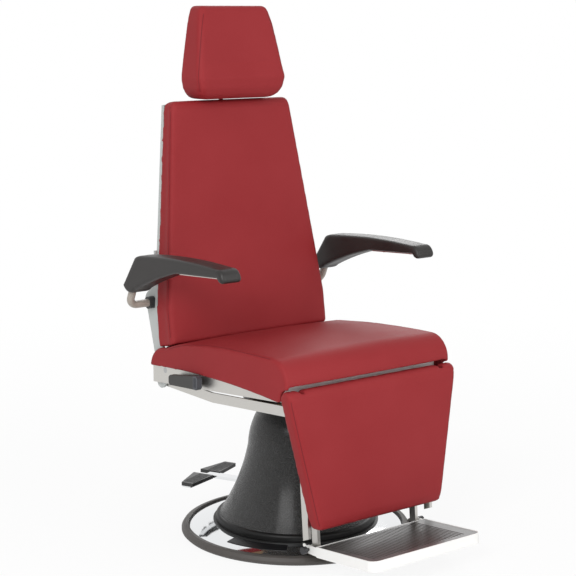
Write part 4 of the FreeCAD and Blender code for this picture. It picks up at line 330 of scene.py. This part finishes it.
hammered = Finish("Hammered paint", (0.012, 0.012, 0.012), roughness=0.3, coat=0.2,
                  coat_roughness=0.2, specular=0.4)
dimples = hammered.cells(330, "SMOOTH_F1")
flecks = hammered.noise(520, 3).between(0.35, 0.7)
hammered.feed(Base_Color=hammered.mix(dimples * 0.4 + flecks * 0.6, (0.004, 0.004, 0.004),
                                      (0.030, 0.030, 0.029)))
hammered.feed(Roughness=flecks * 0.14 + 0.18)
hammered.bump(dimples + flecks * 0.5, 0.0022, 1.0)
print("metals and paints made")


# %% [markdown]
# ## Rubber, plastic and plywood
# The edge ring is dull rubber with a little dust, and the tray's mat is a shinier one. The armrest
# pads are moulded foam with a leather grain, the handles, knobs and bushes are plain black plastic,
# and the boards under the cushions are plywood.

# %% Rubber and plastic finishes
def moulded(name, colour, roughness, grain, depth, coat=0.0, specular=0.5):
    """Rubber, foam skin or plastic with a pebbled grain, so many pebbles to the metre."""
    finish = Finish(name, colour, roughness=roughness, coat=coat, coat_roughness=0.3,
                    specular=specular)
    pebbles = finish.cells(grain, "F1")
    dust = finish.noise(13, 5).between(0.35, 0.8)
    paler = tuple(c * 1.5 + 0.004 for c in colour)
    finish.feed(Base_Color=finish.mix(dust * 0.6 + pebbles * 0.2, colour, paler))
    finish.feed(Roughness=dust * 0.14 + roughness - 0.05)
    finish.bump(pebbles, depth, 0.6)
    return finish.material


edge_rubber = moulded("Edge rubber", (0.052, 0.046, 0.042), 0.55, 700, 0.0001)
mat_rubber = moulded("Mat rubber", (0.050, 0.045, 0.043), 0.34, 500, 0.0002, 0.35)
pedal_rubber = moulded("Pedal rubber", (0.018, 0.018, 0.018), 0.5, 500, 0.0002)
foot_plastic = moulded("Foot plastic", (0.007, 0.007, 0.007), 0.4, 900, 0.00004, 0.0, 0.2)
black_plastic = moulded("Black plastic", (0.020, 0.020, 0.022), 0.42, 700, 0.0001)
handle_plastic = moulded("Handle plastic", (0.038, 0.037, 0.036), 0.5, 700, 0.0001, 0.0, 0.35)
grip_plastic = moulded("Grip plastic", (0.046, 0.048, 0.056), 0.45, 700, 0.0001)
armrest_foam = moulded("Armrest foam", (0.017, 0.015, 0.014), 0.44, 560, 0.00016, 0.04, 0.35)
gloss_black = Finish("Gloss black plate", (0.008, 0.008, 0.009), roughness=0.35, specular=0.25)
gloss_black.feed(Roughness=gloss_black.noise(20, 4) * 0.12 + 0.28)
plate_black = gloss_black.material

plywood = Finish("Plywood", (0.38, 0.24, 0.13), roughness=0.7)
rings = plywood.noise(26, 4, plywood.stretched((0.5, 9, 9)))
plywood.feed(Base_Color=plywood.mix(rings, (0.25, 0.14, 0.07), (0.50, 0.34, 0.20)))
plywood.bump(rings, 0.0003)
print("rubbers, plastics and wood made")

# %% [markdown]
# ## Dressing the frame
# Every solid of the frame gets the finish of the real piece. The list goes by node name.

# %% Finishes by node
finishes = {
    "base_edge_ring": edge_rubber, "base_dome": chrome, "base_ballast": frame_paint,
    "badge_plate": plate_black, "base_bolts": plain_steel, "column_foot": foot_plastic,
    "column_cover": hammered.material, "pump_housing": black_paint, "lift_piston": chrome,
    "pedal_pivot_pin": plain_steel, "pedal_lever": chrome, "pedal_pads": pedal_rubber,
    "swivel_hub": plain_steel, "swivel_nut": plain_steel, "seat_mount_bracket": frame_paint,
    "seat_plate_left": steel_long, "seat_plate_right": steel_long, "seat_cross_tubes": frame_paint,
    "knee_strip": strip_paint, "seat_board": plywood.material, "back_pivot_pins": plain_steel,
    "legrest_pivot_pins": plain_steel, "release_shaft": plain_steel,
    "release_handle": handle_plastic, "release_grip": grip_plastic, "brake_shoe": plain_steel,
    "brake_sector": plain_steel, "back_hinge_plate_left": grey_paint,
    "back_hinge_plate_right": grey_paint, "back_cross_bar": grey_paint,
    "back_board": plywood.material, "back_panel": grey_paint, "headrest_guide": black_paint,
    "headrest_knob": black_plastic, "headrest_post": black_paint,
    "headrest_hinge_pin": plain_steel, "headrest_fork": black_paint,
    "headrest_board": plywood.material, "armrest_bushes": black_plastic,
    "armrest_tube_left": beige_paint, "armrest_tube_right": beige_paint,
    "armrest_pad_left": armrest_foam, "armrest_pad_right": armrest_foam,
    "armrest_strip_left": steel_long, "armrest_strip_right": steel_long,
    "armrest_screws_left": plain_steel, "armrest_screws_right": plain_steel,
    "recline_link": steel_long, "legrest_bracket": frame_paint, "legrest_board": plywood.material,
    "footrest_stays": steel_tall, "footrest_guides": black_plastic, "footrest_frame": steel_tall,
    "footrest_knobs": black_plastic, "footrest_tray": white_paint, "footrest_mat": mat_rubber,
    "seat_cushion": red_vinyl, "back_cushion": red_vinyl, "headrest_cushion": red_vinyl,
    "legrest_cushion": red_vinyl,
}
for name, piece in nodes.items():
    piece.data.materials.clear()
    piece.data.materials.append(finishes[name])
print("dressed", len(finishes), "of", len(nodes))


# %% [markdown]
# ## Cushion covers
# A box cushion is foam cut to shape with a sewn cover pulled over it, so its faces belly out and its
# edges turn over a small radius. A subdivided box would swell evenly, and sculpting is slow, so here
# the cover is a skin of even squares laid on the foam block, and Blender's cloth blows it up. What
# rests on a board stays flat, and no point may travel more than a few millimetres, as in a cover that
# fits. The armrest pads are made the same way: moulded foam with a skin of its own.

# %% Skin of even squares
def settle(piece):
    """Make the modifiers' result the piece's own mesh."""
    evaluated = piece.evaluated_get(bpy.context.evaluated_depsgraph_get())
    mesh = bpy.data.meshes.new_from_object(evaluated)
    mesh.name = piece.name
    piece.modifiers.clear()
    piece.data = mesh


def merged_block(node):
    """A block of the frame as a bmesh, with the corners of its loose triangles joined."""
    block = bmesh.new()
    block.from_mesh(nodes[node].data)
    bmesh.ops.remove_doubles(block, verts=block.verts, dist=0.00002)
    return block


def skin_of(node, name, voxel):
    """A new closed skin of even squares over a block of the frame."""
    block = merged_block(node)
    mesh = bpy.data.meshes.new(name)
    block.to_mesh(mesh)
    block.free()
    piece = bpy.data.objects.new(name, mesh)
    scene.collection.objects.link(piece)
    remesh = piece.modifiers.new("Even skin", "REMESH")
    remesh.mode = "VOXEL"
    remesh.voxel_size = voxel
    settle(piece)
    return piece


# %% Laying the skin on the foam
def finder_of(*names):
    """Finds the nearest point on some pieces of the frame."""
    solids = bmesh.new()
    for name in names:
        solids.from_mesh(nodes[name].data)
    finder = BVHTree.FromBMesh(solids)
    solids.free()
    return finder


def soften(piece, rounds, share=0.5):
    """Even out the steps that the squares leave."""
    skin = bmesh.new()
    skin.from_mesh(piece.data)
    for _ in range(rounds):
        bmesh.ops.smooth_vert(skin, verts=skin.verts, factor=share, use_axis_x=True,
                              use_axis_y=True, use_axis_z=True)
    skin.to_mesh(piece.data)
    skin.free()


def lay_on(piece, foam, sunk=0.0, proud=0.0):
    """Bring each point to the foam's surface, but for how far it may be sunk or proud."""
    for corner in piece.data.vertices:
        near, normal, _, away = foam.find_nearest(corner.co)
        reach = proud if (corner.co - near).dot(normal) > 0 else sunk
        if away > reach:
            corner.co = near + (corner.co - near) * (reach / away)


# %% Sewn edges
def sewn_edges(node, pitch=0.0015, sharp=math.radians(50)):
    """Points along the foam block's sharp edges, where the cover's panels are sewn together."""
    block = merged_block(node)
    points = []
    for edge in block.edges:
        if len(edge.link_faces) == 2 and edge.calc_face_angle() > sharp:
            first, second = (corner.co for corner in edge.verts)
            count = max(1, round((second - first).length / pitch))
            points += [first.lerp(second, part / count) for part in range(count + 1)]
    block.free()
    route = KDTree(max(1, len(points)))
    for index, point in enumerate(points):
        route.insert(point, index)
    route.balance()
    return route


def pull_to(piece, edges, near):
    """Bring the cover's nearest row of points onto the sewn edges."""
    for corner in piece.data.vertices:
        point, _, away = edges.find(corner.co)
        if point is not None and away < near:
            corner.co = point


def resting(piece, firm, down, touching=0.006):
    """For each point, whether the cover lies against a board or faces down onto one."""
    return [corner.normal.dot(down) > 0.5
            or firm.find_nearest(corner.co, touching)[0] is not None
            for corner in piece.data.vertices]


def grow(piece, still, thickness):
    """Pad the foam out under the cover, except where it rests on a board."""
    starts = [(corner.co.copy(), corner.normal.copy()) for corner in piece.data.vertices]
    for corner, held, (place, normal) in zip(piece.data.vertices, still, starts):
        if not held:
            corner.co = place + normal * thickness


# %% Stuffing
def plump(piece, pressure, most, still, rounds=14):
    """Blow the cover up as cloth. What rests on a board stays, the rest moves a little."""
    before = [corner.co.copy() for corner in piece.data.vertices]
    cloth = piece.modifiers.new("Stuffing", "CLOTH")
    cloth.settings.use_pressure = True
    cloth.settings.uniform_pressure_force = pressure
    cloth.settings.effector_weights.gravity = 0
    cloth.settings.tension_stiffness = 25
    cloth.settings.compression_stiffness = 25
    cloth.settings.quality = 4
    cloth.point_cache.frame_end = rounds
    for frame_number in range(1, rounds + 1):
        scene.frame_set(frame_number)
    evaluated = piece.evaluated_get(bpy.context.evaluated_depsgraph_get())
    after = [corner.co.copy() for corner in evaluated.data.vertices]
    piece.modifiers.clear()
    for corner, held, start, end in zip(piece.data.vertices, still, before, after):
        move = end - start
        if held:
            move *= 0
        elif move.length > most:
            move *= most / move.length
        corner.co = start + move
    scene.frame_set(1)


# %% Cover maker
def cover(node, name, body, against, material=red_vinyl, voxel=0.0055,
          pressure=3.0, most=0.003, fuller=0.0, down=(0, 1, 0)):
    """The sewn cover that stands for a foam block, plumped against its board."""
    foam, firm, edges = finder_of(node), finder_of(*against), sewn_edges(node)
    piece = skin_of(node, name, voxel)
    soften(piece, 2)
    lay_on(piece, foam)
    soften(piece, 1)
    lay_on(piece, foam)
    pull_to(piece, edges, voxel * 0.7)
    still = resting(piece, firm, Vector(down))
    grow(piece, still, fuller)
    plump(piece, pressure, most, still)
    soften(piece, 1)
    lay_on(piece, foam, sunk=0.0008, proud=most + fuller)
    finer = piece.modifiers.new("Finer", "SUBSURF")
    finer.levels = 1
    finer.render_levels = 1
    settle(piece)
    piece.data.polygons.foreach_set("use_smooth", [True] * len(piece.data.polygons))
    piece.data.materials.clear()
    piece.data.materials.append(material)
    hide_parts(node)
    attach(piece, body)
    print(name, "corners", len(piece.data.vertices), "size",
          [round(d, 3) for d in piece.dimensions])
    return piece


# %% The four cushions
back_cover = cover("back_cushion", "back_cover", "back",
                   ("back_board", "back_panel", "back_hinge_plate_left", "back_hinge_plate_right"),
                   fuller=0.003)
head_cover = cover("headrest_cushion", "headrest_cover", "headrest",
                   ("headrest_board", "headrest_fork", "headrest_post"), voxel=0.005, fuller=0.005)
leg_cover = cover("legrest_cushion", "legrest_cover", "legrest",
                  ("legrest_board", "legrest_bracket"), voxel=0.005, fuller=0.003)
seat_cover = cover("seat_cushion", "seat_cover", "seat",
                   ("seat_board", "seat_plate_left", "seat_plate_right", "knee_strip"), voxel=0.005,
                   down=(0, 0, -1))

# %% The two armrest pads
for side in ("left", "right"):
    cover("armrest_pad_" + side, "armrest_pad_cover_" + side, "arm_" + side,
          ("armrest_strip_" + side, "armrest_tube_" + side), armrest_foam,
          voxel=0.004, pressure=2.0, most=0.001, down=(0, 0, -1))


# %% [markdown]
# ## Seams
# Each cover is a front panel and side panels sewn together, so a seam runs along every long edge: a
# shallow valley with a row of thread in it. The seam's line is found by looking at the cover from
# outside along a fan of directions, and the thread is a thin cord laid along the points that are hit.

# %% Seam maker
def seam(piece, name, body, looks, radius=0.0011, valley=0.0012, width=0.006, pitch=0.004):
    """Press a valley into a cover along a line and lay thread in it."""
    skin = bmesh.new()
    skin.from_mesh(piece.data)
    finder = BVHTree.FromBMesh(skin)
    line = []
    for start, direction in looks:
        hit, normal, _, _ = finder.ray_cast(Vector(start), Vector(direction))
        if hit is not None:
            line.append((hit, normal))
    runs = []
    for (first, normal), (second, _) in zip(line, line[1:]):
        pieces = max(1, round((second - first).length / pitch))
        for part in range(pieces):
            runs.append((first.lerp(second, part / pieces), normal))
    runs.append(line[-1])
    route = KDTree(len(runs))
    for index, (point, normal) in enumerate(runs):
        route.insert(point, index)
    route.balance()
    for corner in skin.verts:
        _, index, away = route.find(corner.co)
        if away < width:
            corner.co -= runs[index][1] * valley * (1 - (away / width) ** 2) ** 2
    skin.to_mesh(piece.data)
    skin.free()
    curve = bpy.data.curves.new(name, "CURVE")
    curve.dimensions = "3D"
    curve.bevel_depth = radius
    curve.bevel_resolution = 2
    spline = curve.splines.new("NURBS")
    spline.points.add(len(line) - 1)
    for point, (hit, normal) in zip(spline.points, line):
        point.co = (*(hit - normal * (valley + radius * 0.2)), 1)
    spline.order_u = 3
    spline.use_endpoint_u = True
    curve.materials.append(thread.material)
    row = bpy.data.objects.new(name, curve)
    scene.collection.objects.link(row)
    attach(row, body)
    print(name, "points", len(line))


# %% Where to look for the seams
def steps(low, high, count):
    """Even steps from one value to another, both included."""
    return [low + (high - low) * k / (count - 1) for k in range(count)]


def back_looks(side):
    """Up the backrest, which narrows above its lowest part and leans back."""
    low_half_width, taper, straight_to, padding = 0.266, 0.126, 0.6, 0.004
    side_middle, lean, lean_from = 0.199, 0.14, 0.583
    looks = []
    for height in steps(0.53, 1.135, 40):
        wide = low_half_width - taper * max(0, height - straight_to) + padding
        place = side_middle + lean * (height - lean_from)
        looks.append(((side * (wide + 0.1), place - 0.075, height), (-side * 0.8, 0.66, 0)))
    return looks


def head_looks(side):
    """Up the headrest, which narrows from just above its lower edge."""
    low_half_width, taper, straight_to = 0.142, 0.16, 1.21
    side_middle, lean, lean_from = 0.16, 0.1, 1.2
    looks = []
    for height in steps(1.175, 1.38, 24):
        wide = low_half_width - taper * max(0, height - straight_to)
        place = side_middle + lean * max(0, height - lean_from)
        looks.append(((side * (wide + 0.1), place, height), (-side * 0.8, 0.6, 0)))
    return looks


def leg_looks(side):
    """Down the legrest, which narrows and leans forward from its pivot."""
    top_half_width, taper, pivot_height = 0.277, 0.2145, 0.453
    front_face, lean = -0.3235, 0.086
    looks = []
    for height in steps(0.455, 0.135, 30):
        wide = top_half_width - taper * (pivot_height - height)
        place = front_face - lean * (pivot_height - height)
        looks.append(((side * (wide + 0.08), place - 0.06, height), (-side * 0.8, 0.6, 0)))
    return looks


def seat_looks(side):
    """Along the seat from its rear, where the top falls away, to its level front."""
    crown, fall, bow, looker_aside = 0.55, 0.12, 0.6, 0.354
    looks = []
    for place in steps(0.20, -0.235, 36):
        top = crown if place < 0 else crown - fall * place - bow * place ** 2
        looks.append(((side * looker_aside, place, top + 0.06), (-side * 0.8, 0, -0.6)))
    return looks


# %% The eight seams
for side, hand in ((-1, "right"), (1, "left")):
    seam(back_cover, "back_seam_" + hand, "back", back_looks(side))
    seam(head_cover, "headrest_seam_" + hand, "headrest", head_looks(side))
    seam(leg_cover, "legrest_seam_" + hand, "legrest", leg_looks(side))
    seam(seat_cover, "seat_seam_" + hand, "seat", seat_looks(side))
